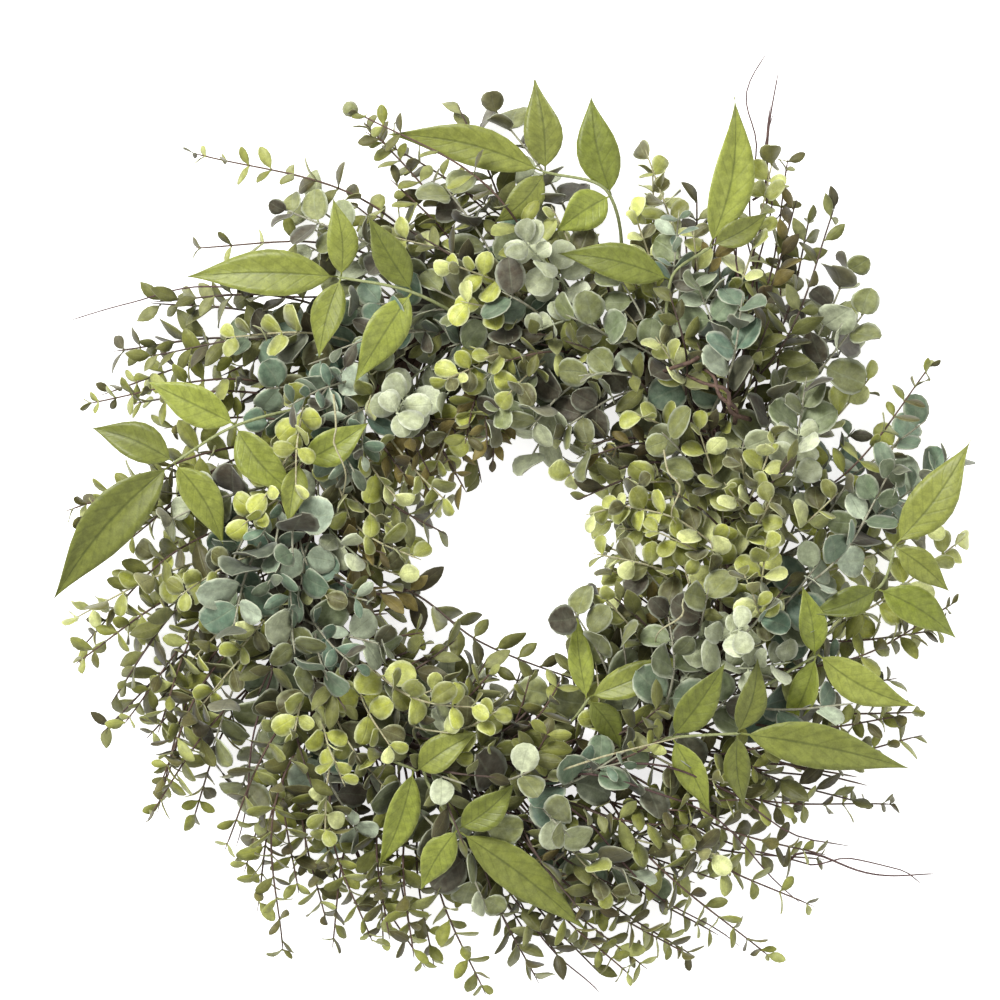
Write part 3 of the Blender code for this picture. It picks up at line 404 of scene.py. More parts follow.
def blade_form(leaf, spare=0.0):
    """A whole leaf, from its stem to its tip."""
    tip = blade_point(leaf, 1, 0, 0) + leaf.along * spare
    reach = KNOT_LENGTH / 2 + spare
    spokes = (-leaf.side, leaf.normal, leaf.side, -leaf.normal)
    foot = [leaf.base + leaf.out * 0.2 * MM + spoke * reach for spoke in spokes]
    return closed_form([foot] + blade_sections(leaf, spare), (leaf.base, tip))


def blade_front(leaf, spare):
    """A leaf without the start of its stalk, to test against the stem that it grows from."""
    sections = blade_sections(leaf, spare)
    start = leaf.base.lerp(sum(sections[0], Vector()) / 4, 0.4)
    return closed_form(sections, (start, blade_point(leaf, 1, 0, 0)))


def tube_form(points, radii, spare=0.0):
    """A tube round a line of points that holds every stem of these radii."""
    sections = []
    for index, point in enumerate(points):
        tangent = (points[min(index + 1, len(points) - 1)] - points[max(index - 1, 0)]).normalized()
        sections.append(ring_corners(point, tangent, (radii[index] + spare) / math.cos(math.pi / 6), 0, 6))
    return closed_form(sections, (points[0], points[-1]))

# %% The space already taken
class Filled:
    """The space already taken, as a box and a face tree for each piece."""

    def __init__(self):
        self.low = np.empty((0, 3))
        self.high = np.empty((0, 3))
        self.trees = []

    def add(self, form):
        """Takes the space of a form, and returns its number."""
        points = np.array(form[0])
        self.low = np.vstack([self.low, points.min(0)])
        self.high = np.vstack([self.high, points.max(0)])
        self.trees.append(BVHTree.FromPolygons(*form))
        return len(self.trees) - 1

    def free(self, form, skip=None):
        """Whether a form overlaps nothing, apart from the piece that is skipped."""
        points = np.array(form[0])
        near = (self.low <= points.max(0)).all(1) & (self.high >= points.min(0)).all(1)
        tree = BVHTree.FromPolygons(*form)
        return not any(tree.overlap(self.trees[i]) for i in np.flatnonzero(near) if i != skip)

    def free_of(self, form, index):
        """Whether a form overlaps one piece nowhere."""
        return not BVHTree.FromPolygons(*form).overlap(self.trees[index])


def has_room(form):
    """Whether a form stays between the surface and the ceiling, and out of the wreath's hole."""
    points = np.array(form[0])
    from_hole = np.hypot(points[:, 0] - HOLE_CENTRE.x, points[:, 1] - HOLE_CENTRE.y)
    return points[:, 2].min() > FLOOR_CLEAR and points[:, 2].max() < CEILING and from_hole.min() > HOLE_RADIUS

# %% Vine and tie
def round_core(turn, side, offset):
    """The point beside the ring's core line, and the way out of it: side is 0 outwards and pi / 2 up."""
    outward = Vector((math.cos(turn), math.sin(turn), 0))
    normal = math.cos(side) * outward + math.sin(side) * UP
    return RING_CENTRE + RING_RADIUS * outward + CORE_HEIGHT * UP + offset * normal, normal


def vine_section(step):
    """Middle, way out, way across and radius of the thick vine at one of its sections."""
    turn = step * math.tau / VINE_STEPS
    middle, normal = round_core(turn, turn * VINE_TWISTS / VINE_TURNS, VINE_OFFSET)
    across = Vector((-math.sin(turn), math.cos(turn), 0)).cross(normal)
    share = step / (VINE_TURNS * VINE_STEPS)
    return middle, normal, across, VINE_THICK + (VINE_THIN - VINE_THICK) * share


def side_of_vine(step, share, side):
    """The middle of one of the vine's six sides, part of the way from one section to the next, and the way
    out of it. Side 0 faces away from the ring's core line."""
    ends = []
    for section in (step, step + 1):
        middle, normal, across, radius = vine_section(section)
        angle = side * math.tau / VINE_SIDES
        out = math.cos(angle) * normal + math.sin(angle) * across
        ends.append((middle + out * radius * math.cos(math.pi / VINE_SIDES), out))
    return ends[0][0].lerp(ends[1][0], share), ends[0][1].lerp(ends[1][1], share).normalized()


def polygon(middle, normal, across, radius, sides):
    """A regular section with one flat side towards the normal."""
    corners = []
    for index in range(sides):
        angle = math.pi / sides + index * math.tau / sides
        corners.append(middle + radius * (math.cos(angle) * normal + math.sin(angle) * across))
    return corners


def vine_width(step):
    """How much of its radius the thick vine has at a section: it thins at both ends."""
    return min(1.0, 0.45 + 0.3 * step, 0.4 + 0.2 * (VINE_LAST - step))


def vine_sections():
    """The thick vine's sections."""
    sections = []
    for step in range(VINE_LAST + 1):
        middle, normal, across, radius = vine_section(step)
        sections.append(polygon(middle, normal, across, radius * vine_width(step), VINE_SIDES))
    return sections


def tie_section(step, offset):
    """Middle, way out and way across of the thin vine at one of its sections. It starts under the ring."""
    turn = step * math.tau / (TIE_TURNS * TIE_STEPS)
    side = step * math.tau / TIE_STEPS - math.pi / 2
    middle, normal = round_core(turn, side, offset)
    ahead = round_core(turn + 0.01, side + 0.01 * TIE_TURNS, offset)[0]
    return middle, normal, (ahead - middle).normalized().cross(normal).normalized()


def tie_width(step):
    """How much of its radius the thin vine has at a section: it thins at its end."""
    return min(1.0, 0.6 + 0.2 * (TIE_LAST - step))


def tie_sections():
    """The thin vine's sections."""
    sections = []
    for step in range(TIE_LAST + 1):
        middle, normal, across = tie_section(step, TIE_OFFSET)
        sections.append(polygon(middle, normal, across, TIE_RADIUS * tie_width(step), TIE_SIDES))
    return sections


def tube_space(sections):
    """The space that a tube takes."""
    ends = [sum(section, Vector()) / len(section) for section in (sections[0], sections[-1])]
    return closed_form(sections, ends)

# %% [markdown]
# ## Stems
#
# A stem is a smooth line through a few points. It starts along the side of the vine, lifts off it, and bows
# up over its neighbours to its tip. Each try at a line is bent a little more than the last, until one is
# free.

# %% Lines of the stems
class Line:
    """A smooth line through points, measured along its length."""

    SPAN_STEPS = 10

    def __init__(self, knots):
        pull = [knots[1] - knots[0]]
        pull += [after - before for before, after in zip(knots, knots[2:])]
        pull.append(knots[-1] - knots[-2])
        self.points = [knots[0]]
        for index in range(len(knots) - 1):
            start, end = knots[index], knots[index + 1]
            third = (end - start).length / 3
            first = start + pull[index].normalized() * third
            second = end - pull[index + 1].normalized() * third
            for step in range(1, self.SPAN_STEPS + 1):
                u = step / self.SPAN_STEPS
                weights = ((1 - u) ** 3, 3 * u * (1 - u) ** 2, 3 * u * u * (1 - u), u**3)
                corners = (start, first, second, end)
                self.points.append(sum((w * c for w, c in zip(weights, corners)), Vector()))
        self.lengths = [0.0]
        for before, after in zip(self.points, self.points[1:]):
            self.lengths.append(self.lengths[-1] + (after - before).length)
        self.length = self.lengths[-1]

    def at(self, share):
        """The point at this share of the length, and the line's direction there."""
        goal = min(max(share, 0.0), 1.0) * self.length
        index = next(i for i in range(1, len(self.lengths)) if self.lengths[i] >= goal - 1e-9)
        start, end = self.points[index - 1], self.points[index]
        part = (goal - self.lengths[index - 1]) / (end - start).length
        return start.lerp(end, part), (end - start).normalized()


def roots_near(degrees, roll, filled, radius):
    """Free places on the ring's vine for the cut end of a stem, the nearest to what is asked first."""
    ranked = []
    for step in range(2, VINE_TURNS * VINE_STEPS - 5):
        turn = step * 360 / VINE_STEPS
        away = abs((turn + 6 - degrees + 180) % 360 - 180)
        for side in (0, 1, -1):
            facing = turn * VINE_TWISTS / VINE_TURNS + side * 360 / VINE_SIDES
            rolled = abs((facing - roll + 180) % 360 - 180)
            if away < ROOT_REACH and rolled < ROOT_ROLL:
                ranked.append((away + ROLL_WEIGHT * rolled + SIDE_WEIGHT * abs(side), step, side))
    for _, step, side in sorted(ranked):
        start, normal = side_of_vine(step, ROOT_PART[0], side)
        end, end_normal = side_of_vine(step, ROOT_PART[1], side)
        for lift in ROOT_LIFTS:
            out = radius + lift * MM
            root = Root(start + normal * out, end + end_normal * out, end_normal)
            if filled.free(tube_form([root.start, root.end], [radius] * 2, CLEAR * 0.8)):
                yield root
                break


def lines_from(root, way, arch, rng):
    """Lines from a root through the points of a way, each bent a little more than the last."""
    run = (root.end - root.start).normalized()
    for attempt in range(STEM_TRIES):
        loose = attempt * 1.1 * MM
        lead = root.end + run * (STEM_LEAD + rng.random() * loose)
        lead += root.normal * (STEM_LIFT + rng.random() * loose)
        knots = [root.start, root.end, lead]
        knots += [goal + Vector([rng.uniform(-loose, loose) / 2 for _ in range(3)]) for goal in way[:-1]]
        if len(way) == 1:
            knots.append(spiral(lead, way[0], rng.uniform(0.4, 0.6), arch + rng.uniform(-1, 1.5) * loose))
        yield Line(knots + [way[-1]])


def spiral(start, end, share, arch):
    """A point between two, on a curve that goes round the ring's middle."""
    first, last = start - RING_CENTRE, end - RING_CENTRE
    turn = math.atan2(first.y, first.x)
    sweep = (math.atan2(last.y, last.x) - turn + math.pi) % math.tau - math.pi
    reach = first.xy.length + (last.xy.length - first.xy.length) * share
    height = first.z + (last.z - first.z) * share + arch
    angle = turn + sweep * share
    return RING_CENTRE + Vector((math.cos(angle) * reach, math.sin(angle) * reach, height))

# %% Sections and marks of a stem
def ring_shares(line, lead, marks, kind):
    """Where a stem has its sections, as shares of its length: two at each mark, two along its lead, and
    enough between to follow its bends."""
    half = KNOT_LENGTH / 2 / line.length
    anchors = [0.0, lead] if lead else [0.0]
    for mark in marks:
        anchors += [mark - half, mark + half]
    anchors.append(1.0)
    shares = anchors[:1]
    for before, after in zip(anchors, anchors[1:]):
        count = max(1, round((after - before) * line.length / kind.spacing))
        shares += [before + (after - before) * i / count for i in range(1, count)]
        shares.append(after)
    return shares


def thickness_at(share, kind):
    """The radius of a kind's stem at this share of its length."""
    return kind.thick + (kind.thin - kind.thick) * share


def stem_space(line, lead, marks, kind, spare, skip=0):
    """The space round a stem, without its first sections if some are skipped."""
    shares = ring_shares(line, lead, marks, kind)[skip:]
    points = [line.at(share)[0] for share in shares]
    return tube_form(points, [thickness_at(share, kind) for share in shares], spare)


def bends_gently(line, lead, marks, kind):
    """Whether a stem's sections follow each other without a kink."""
    points = [line.at(share)[0] for share in ring_shares(line, lead, marks, kind)]
    runs = [(after - before).normalized() for before, after in zip(points, points[1:])]
    return all(before.dot(after) > BEND_LIMIT for before, after in zip(runs, runs[1:]))


def pair_marks(kind):
    """Where the pairs of leaves of a spray are, as shares of its stem's length."""
    parts = [index / (kind.pairs - 1) for index in range(kind.pairs)]
    return [kind.first + (0.97 - kind.first) * part**0.92 for part in parts]


def stop_marks(line, stops):
    """Where the knots of a laurel stem are. The last one is at its end."""
    marks = []
    for stop in stops[:-1]:
        goal = plan(*stop[:3])
        marks.append(min(range(1, 100), key=lambda i: (line.at(i / 100)[0] - goal).length) / 100)
    return marks + [1 - KNOT_LENGTH / line.length]

# %% Routes of stems and shoots
def route_stem(degrees, side, way, kind, marks_of, filled, rng):
    """Finds a free line for a stem from the ring's vine, and takes its space."""
    for root in roots_near(degrees, side, filled, kind.thick):
        for line in lines_from(root, way, kind.arch, rng):
            lead = line.lengths[line.SPAN_STEPS] / line.length
            marks = marks_of(line)
            if marks[0] < lead + 0.04 or not bends_gently(line, lead, marks, kind):
                continue
            space = stem_space(line, lead, marks, kind, CLEAR, skip=2)
            if not has_room(space) or not filled.free(space):
                continue
            if filled.free(stem_space(line, lead, marks, kind, CLEAR * 0.75)):
                return line, marks, filled.add(stem_space(line, lead, marks, kind, 0))
    return None


def route_shoot(parent, parent_space, share, way, kind, marks, filled, rng):
    """Finds a free line for a shoot that leaves a stem at this share of its length, and takes its space."""
    point, tangent = parent.at(share)
    aim = way[0] - point
    across = (aim - tangent * aim.dot(tangent)).normalized()
    for attempt in range(SHOOT_TRIES):
        loose = attempt * 1.2 * MM
        out = turned(across, tangent, rng.uniform(-4, 4) * attempt)
        start = point + out * thickness_at(share, kind) * 0.6
        lead = start + (out * 0.8 + tangent * 0.6) * SHOOT_LEAD * MM
        knots = [start, lead, spiral(lead, way[0], 0.5, kind.arch * 0.5 + rng.uniform(-1, 2) * loose), way[0]]
        line = Line(knots)
        joint = line.lengths[line.SPAN_STEPS] / line.length
        if not bends_gently(line, joint, marks, kind):
            continue
        space = stem_space(line, joint, marks, kind, CLEAR)
        foot = tube_form([start.lerp(lead, 0.45), lead], [thickness_at(share, kind)] * 2, CLEAR)
        if not has_room(space) or not filled.free(space, skip=parent_space):
            continue
        beyond = stem_space(line, joint, marks, kind, CLEAR, skip=1)
        if filled.free_of(foot, parent_space) and filled.free_of(beyond, parent_space):
            return line, filled.add(stem_space(line, joint, marks, kind, 0))
    return None

# %% [markdown]
# ## Leaves along a stem
#
# Young eucalyptus leaves stand in opposite pairs, each pair turned about a quarter round the stem from the
# last. Laurel leaves point where the table says.

# %% Leaves of a stem
def make_leaf(base, out, along, facing, roll, length, width, shape):
    """A leaf from its base on one side of a stem, along a direction, facing as near as it can to a given
    way, then rolled."""
    along = along.normalized()
    lean = along.dot(out)
    if lean < LEAST_LEAN:
        along = (along + out * (LEAST_LEAN - lean)).normalized()
    side = turned(along.cross(facing).normalized(), along, roll)
    return Leaf(base, out, along, side, side.cross(along).normalized(), length, width / 2, shape)


def settle_leaf(wish, filled, stem, rng, tries):
    """Turns and shrinks a wished-for leaf step by step until it has room, and takes its space."""
    for attempt in range(tries):
        loose = attempt / max(tries - 1, 1)
        along = turned(wish.along, wish.side, rng.uniform(-LEAF_PITCH, LEAF_PITCH) * loose)
        along = turned(along, wish.normal, rng.uniform(-LEAF_YAW, LEAF_YAW) * loose)
        roll = rng.uniform(-LEAF_ROLL, LEAF_ROLL) * loose
        size = 1 - LEAF_SHRINK * loose * rng.random()
        width = wish.half_width * 2 * size
        leaf = make_leaf(wish.base, wish.out, along, wish.normal, roll, wish.length * size, width, wish.shape)
        form = blade_form(leaf, CLEAR)
        if not has_room(form) or not filled.free_of(blade_front(leaf, CLEAR / 2), stem):
            continue
        if filled.free(form, skip=stem):
            filled.add(blade_form(leaf))
            return leaf
    return None


def paired_leaves(line, marks, kind, sides, filled, stem, rng):
    """The knots of a stem whose leaves grow in pairs, each pair rolled round from the last."""
    knots = []
    for index, share in enumerate(marks):
        part = index / (kind.pairs - 1)
        point, tangent = line.at(share)
        upward = frame_of(tangent)[1]
        roll = kind.turn * (index % 2 - 0.3) + rng.uniform(-12, 12)
        size = 1 + (kind.small - 1) * part
        ring_roll = roll if sides == 4 else roll + 30
        leaves = []
        for way, face in ((roll, ring_roll), (roll + 180, ring_roll + (180 if sides == 4 else 120))):
            outward, out = way_across(tangent, way), way_across(tangent, face)
            lean = math.radians(kind.splay + rng.uniform(-10, 10) - 16 * part)
            along = outward * math.sin(lean) + tangent * math.cos(lean) + UP * rng.uniform(0.0, 0.2)
            base = point + out * thickness_at(share, kind) * math.cos(math.pi / sides)
            upright = (UP * 0.75 + upward * 0.35) * (1 - kind.face)
            facing = upright + tangent * (kind.face + rng.uniform(-0.25, 0.25))
            grown = size * rng.uniform(0.9, 1.08)
            wide = kind.width * grown * (1 - 0.12 * part)
            shape = SHAPES["young dollar" if kind.shape == "dollar" and part == 1 else kind.shape]
            wish = make_leaf(base, out, along, facing, rng.uniform(-20, 20), kind.length * grown, wide, shape)
            leaf = settle_leaf(wish, filled, stem, rng, PAIR_TRIES)
            if leaf:
                leaves.append(leaf)
        knots.append(Knot(share, leaves, []))
    return knots


def laurel_leaves(line, marks, stops, kind, filled, stem, rng):
    """The knots of a laurel stem, whose leaves point where the table says, and the leaf at its tip."""
    knots = []
    tip_leaf = None
    for share, stop in zip(marks, stops):
        point, tangent = line.at(share)
        wishes = []
        for heading, length, width, tilt in stop[3]:
            turn, rise = math.radians(heading), math.radians(tilt)
            along = Vector((math.cos(turn) * math.cos(rise), math.sin(turn) * math.cos(rise), math.sin(rise)))
            wishes.append((along, length * MM, width * MM))
        wishes.sort(key=lambda wish: -wish[0].dot(tangent))
        if stop is stops[-1] and wishes[0][0].dot(tangent) > TIP_LEAN:
            along, length, width = wishes.pop(0)
            end = line.at(1)[0]
            wish = make_leaf(end, tangent, along, UP, rng.uniform(-10, 10), length, width, SHAPES["laurel"])
            tip_leaf = settle_leaf(wish, filled, stem, rng, LAUREL_TRIES)
        leaves = []
        outs = []
        for along, length, width in wishes:
            across = (along - tangent * along.dot(tangent)).normalized()
            if not outs:
                side, upward = frame_of(tangent)
                ring_roll = math.degrees(math.atan2(across.dot(upward), across.dot(side)))
                outs = [way_across(tangent, ring_roll + quarter) for quarter in (0, 90, 180, 270)]
            out = max(outs, key=across.dot)
            outs.remove(out)
            base = point + out * thickness_at(share, kind) * math.cos(math.pi / 4)
            wish = make_leaf(base, out, along, UP, rng.uniform(-12, 12), length, width, SHAPES["laurel"])
            leaf = settle_leaf(wish, filled, stem, rng, LAUREL_TRIES)
            if leaf:
                leaves.append(leaf)
        knots.append(Knot(share, leaves, []))
    return knots, tip_leaf

# %% A spray from its row
def fork_shares(kind_name, ways):
    """Where the further shoots of a spray leave its stem."""
    return (TWIG_FORKS if kind_name == "twig" else FORKS)[: len(ways) - 1]


def spray_plan():
    """Every spray, as its name, kind, root angle, side of the ring, and the ways of its shoots."""
    sprays = []
    for name, (root, stops) in LAURELS.items():
        sprays.append((name, "laurel", root, 80, [[plan(*stop[:3]) for stop in stops]]))
    for kind_name in ("twig", "olive", "frost", "willow", "dollar", "baby"):
        for number, (root, side, *ways) in enumerate(SPRAYS[kind_name], 1):
            routes = [[plan(*point) for point in way] for way in ways]
            sprays.append((f"{kind_name}_{number}", kind_name, root, side, routes))
    return sprays


def route_spray(number, plan_of_spray, filled):
    """Routes a spray's stem and its further shoots, or returns None."""
    name, kind_name, degrees, side, ways = plan_of_spray
    rng = random.Random(SEED + number)
    kind = KINDS[kind_name]
    forks = fork_shares(kind_name, ways)
    pairs = pair_marks(kind) if kind.pairs else []

    def marks_of(line):
        if name in LAURELS:
            return stop_marks(line, LAURELS[name][1])
        return sorted([*forks, *pairs]) or [0.5]

    found = route_stem(degrees, side, ways[0], kind, marks_of, filled, rng)
    if not found:
        print("no room for the stem of", name)
        return None
    line, marks, space = found
    shoots = []
    for share, way in zip(forks, ways[1:]):
        found = route_shoot(line, space, share, way, kind, pairs, filled, rng)
        if found:
            shoots.append((share, *found))
        else:
            print("no room for a shoot of", name)
    return name, kind, line, marks, pairs, space, shoots, rng


def leaf_spray(name, kind, line, marks, pairs, space, shoots, rng, filled):
    """Settles the leaves of a routed spray, and returns its kind, its first shoot and its stem's space."""
    if name in LAURELS:
        knots, tip_leaf = laurel_leaves(line, marks, LAURELS[name][1], kind, filled, space, rng)
        return kind, Shoot(line, knots, tip_leaf), space
    knots = paired_leaves(line, pairs, kind, kind.sides, filled, space, rng)
    for share, way, shoot_space in shoots:
        shoot_knots = paired_leaves(way, pairs, kind, 4, filled, shoot_space, rng)
        knots.append(Knot(share, [], [Shoot(way, shoot_knots, None)]))
    knots.sort(key=lambda knot: knot.share)
    return kind, Shoot(line, knots, None), space

# %% [markdown]
# ## The layout
#
# The laurels go first, so that their leaves keep their places, then the rest, in the same order as in the
# solids. After that the scene is free to add what the solids leave out: a pair of leaves between each two of
# a stem's pairs, and more below the first pair, as far as there is room.

# %% Lay out the sprays of the solids
filled = Filled()
filled.add(tube_space(vine_sections()))
filled.add(tube_space(tie_sections()))
plans = list(enumerate(spray_plan()))
sprays = {}
for group in (plans[: len(LAURELS)], plans[len(LAURELS) :]):
    for routed in [route_spray(number, spray, filled) for number, spray in group]:
        sprays[routed[0]] = leaf_spray(*routed, filled)
print("sprays:", len(sprays))

# %% What the scene's own leaves keep clear of
def shoots_of(shoot):
    """A shoot and all that grow from it."""
    found = [shoot]
    for knot in shoot.knots:
        for further in knot.shoots:
            found += shoots_of(further)
    return found


def own_leaves(shoot):
    """The leaves that the solids have on a stem, each with its share of the way along the leafy part."""
    marks = [knot.share for knot in shoot.knots if knot.leaves]
    low, high = (min(marks), max(marks)) if marks else (0, 1)
    leaves = [
        (leaf, (knot.share - low) / max(high - low, 0.01)) for knot in shoot.knots for leaf in knot.leaves
    ]
    return leaves + ([(shoot.tip_leaf, 1)] if shoot.tip_leaf else [])


def face_tree(kind_names):
    """A face tree of all the leaves of some kinds."""
    points = []
    faces = []
    for name, (_, shoot, _) in sprays.items():
        if name.split("_")[0] in kind_names:
            for part in shoots_of(shoot):
                for leaf, _ in own_leaves(part):
                    form = blade_form(leaf)
                    faces += [tuple(len(points) + corner for corner in face) for face in form[1]]
                    points += form[0]
    return BVHTree.FromPolygons(points, faces)


def hides(points, sight):
    """Whether any of the points lies straight above a leaf that has to stay in sight."""
    return any(sight.ray_cast(point, -UP)[0] for point in points)


large_leaves = face_tree(("laurel",))
large_and_pale = face_tree(("laurel", "frost"))

# %% Pairs of leaves between the pairs
FILL_SEED = 77
LOWEST_PAIR = 0.14  # the least share of a stem's length at which a leaf may stand
HIGHEST_PAIR = 0.995
PAIR_LIMITS = (-0.3, 1)  # of the way along the leafy part, for a leaf's size and age
BETWEEN_TRIES = 7
SIGHT_SPOTS = ((0.3, 0), (0.55, -1), (0.55, 1), (1, 0))  # along and across a leaf
Twig = namedtuple("Twig", "kind line leaves main bud")


def fill_marks(marks):
    """Where the scene's own pairs go: between the stem's marks, below the first and near the tip."""
    gaps = [(low + high) / 2 for low, high in zip(marks, marks[1:])]
    step = marks[1] - marks[0]
    below = [marks[0] - step / 2 * count for count in (1, 2, 3) if marks[0] - step / 2 * count > LOWEST_PAIR]
    return sorted(below + gaps + [HIGHEST_PAIR])


def leaf_pair(line, share, part, kind, roll, stem, rng, sight, tries=BETWEEN_TRIES):
    """Up to two leaves on a stem, each with its share of the way along the leafy part."""
    point, tangent = line.at(share)
    side, upward = frame_of(tangent)
    size = 1 + (kind.small - 1) * part
    leaves = []
    for way in (roll, roll + 180):
        out = way_across(tangent, way)
        lean = math.radians(kind.splay + rng.uniform(-12, 12) - 22 * part)
        along = out * math.sin(lean) + tangent * math.cos(lean) + UP * rng.uniform(0.0, 0.2)
        upright = (UP * 0.75 + upward * 0.35) * (1 - kind.face)
        facing = upright + tangent * (kind.face + rng.uniform(-0.5, 0.7)) + side * rng.uniform(-0.5, 0.5)
        base = point + out * thickness_at(share, kind) * 0.5
        grown = size * rng.uniform(0.75, 1.2)
        width = kind.width * grown * rng.uniform(0.85, 1.05)
        roll_over = rng.uniform(-30, 30)
        wish = make_leaf(base, out, along, facing, roll_over, kind.length * grown, width, SHAPES[kind.shape])
        if hides([blade_point(wish, *spot, 0) for spot in SIGHT_SPOTS], sight):
            continue
        leaf = settle_leaf(wish, filled, stem, rng, tries)
        if leaf:
            leaves.append((leaf, part))
    return leaves


twigs = {}
for number, (name, (kind, shoot, stem)) in enumerate(sprays.items()):
    rng = random.Random(FILL_SEED + number)
    twigs[name] = []
    for index, part_shoot in enumerate(shoots_of(shoot)):
        leaves = own_leaves(part_shoot)
        if kind.pairs:
            marks = pair_marks(kind)
            for share in fill_marks(marks):
                part = (share - marks[0]) / (marks[-1] - marks[0])
                part = min(max(part, PAIR_LIMITS[0]), PAIR_LIMITS[1])
                roll = rng.uniform(0, 180)
                leaves += leaf_pair(part_shoot.line, share, part, kind, roll, stem, rng, large_leaves)
        bud = name == BUD_SPRAY and index == 0
        twigs[name].append(Twig(kind, part_shoot.line, leaves, index == 0, bud))
print("leaves:", sum(len(twig.leaves) for group in twigs.values() for twig in group))

# %% [markdown]
# ## Filling sprays
#
# The photo is much denser than the solids: between the named sprays there are short ones of every kind, deep
# in the ring and all round it. The ring was read from the photo in six bands, from its inner edge to its
# outer one. Each letter below is the kind that shows most there in 7.5 degrees, anticlockwise from the right.
# Five short bands at the end add a few sprays where the photo has more of one kind.

# %% Kinds and places of the filling sprays
FILLING = {
    # kind of spray, material, how far its colour goes towards the kind's second one, and its leaves' size
    "b": ("baby", "baby", 0.15, 1.0),
    "B": ("baby", "baby", 0.5, 1.05),
    "y": ("baby", "baby", 0.95, 1.0),
    "Y": ("baby", "baby", 0.5, 1.0),
    "d": ("dollar", "dollar", 0.35, 1.05),
    "t": ("dollar", "dollar", 1.0, 1.12),
    "k": ("dollar", "dollar", 0.0, 1.1),
    "z": ("willow", "dollar", 1.0, 1.1),
    "f": ("frost", "frost", 0.6, 0.95),
    "o": ("olive", "olive", 0.3, 1.0),
    "r": ("olive", "russet", 0.5, 0.85),
    "w": ("willow", "willow", 0.4, 1.05),
    "W": ("willow", "willow", 0.9, 1.05),
    "s": ("twig", "willow", 0.0, 1.0),
}
# Where a letter stands for more than one spray, the second one is of this kind.
PARTNERS = {
    "b": "o", "B": "y", "y": "b", "Y": "b", "d": "b", "t": "z",
    "k": "o", "f": "t", "o": "w", "r": "b", "s": "o",
}
LETTER_ANGLE = 7.5
# Each band is its letters, with a dot where it stays open, how many sprays each letter stands for, the least
# and most reach and height of their tips (mm), and the side of the ring that they leave (degrees).
BANDS = (
    ("yYyYYbkr" "kkbkrdro" "rrrrbykb" "rb......" "........" "..kkbrbk", 3, (44, 88), (18, 66), 160),
    ("........" "........" "........" "..rro.oo" "okookoo." "bb......", 2, (68, 98), (24, 56), 150),
    ("yyykkkbb" "bkbooytf" "ffbzztbk" "ffbtdddk" "kbYYkoo." ".kbfdkky", 2, (92, 142), (40, 84), 120),
    ("Bbbbko.b" "kddftykk" "tdtttbyy" "tttkkdby" "b.kkkbko" "to...ffk", 2, (142, 196), (50, 90), 80),
    ("ddtfdobt" "dybbfkkb" "..fbo..." "kBBBkkby" "to.kookw" "wowo.ttB", 2, (192, 244), (24, 70), 40),
    ("BttBkkos" "sy...kww" "k...oW.." "wBwowwwW" "wwWwosww" "Wsws.wwd", 4, (236, 300), (10, 44), 15),
    (".......r" "r......." "........" "........" "........" "........", 2, (284, 310), (40, 58), 40),
    ("........" "........" "........" "........" "......r." "r.r.....", 2, (206, 262), (44, 62), 60),
    ("........" "........" "........" "..ff...." "........" "........", 3, (160, 200), (72, 96), 100),
    (".....k.t" "t......." "........" "........" "........" "........", 3, (208, 252), (64, 90), 70),
    ("........" "........" "........" ".....t.." "........" "........", 3, (124, 150), (74, 94), 120),
)

# %% Grow the filling sprays
LEAF_GAPS = {"baby": 11, "dollar": 13, "frost": 9, "olive": 12, "willow": 9, "twig": 1000}  # mm between pairs
FILL_TRIES = 24
FILL_LEAF_TRIES = 8
FILL_SPREAD = 5  # how far a tip may be from its letter's angle (degrees)
FILL_LAG = (12, 30)  # how far behind its tip a spray leaves the ring (degrees)
FILL_ROLL = 25  # how far from its band's side of the ring (degrees)
FILL_DEPTH = (6, 12)  # how far from the ring's core line (mm)
FILL_LEAD = 16  # the length of its first bend (mm)
FILL_ARCH = (0, 12)  # how high it bows (mm)
LEAFY_SHARE = 0.62  # of its length
FIRST_PAIR = 0.38


def filling_line(tip, side, rng):
    """A line that leaves the ring behind a tip, bows up and comes down to it."""
    out = tip - RING_CENTRE
    turn = math.atan2(out.y, out.x) - math.radians(rng.uniform(*FILL_LAG))
    roll = math.radians(side + rng.uniform(-FILL_ROLL, FILL_ROLL))
    start, normal = round_core(turn, roll, rng.uniform(*FILL_DEPTH) * MM)
    run = Vector((-math.sin(turn), math.cos(turn), 0))
    lead = start + (run * 0.6 + normal * 0.8) * FILL_LEAD * MM
    return Line([start, lead, spiral(lead, tip, 0.5, rng.uniform(*FILL_ARCH) * MM), tip])


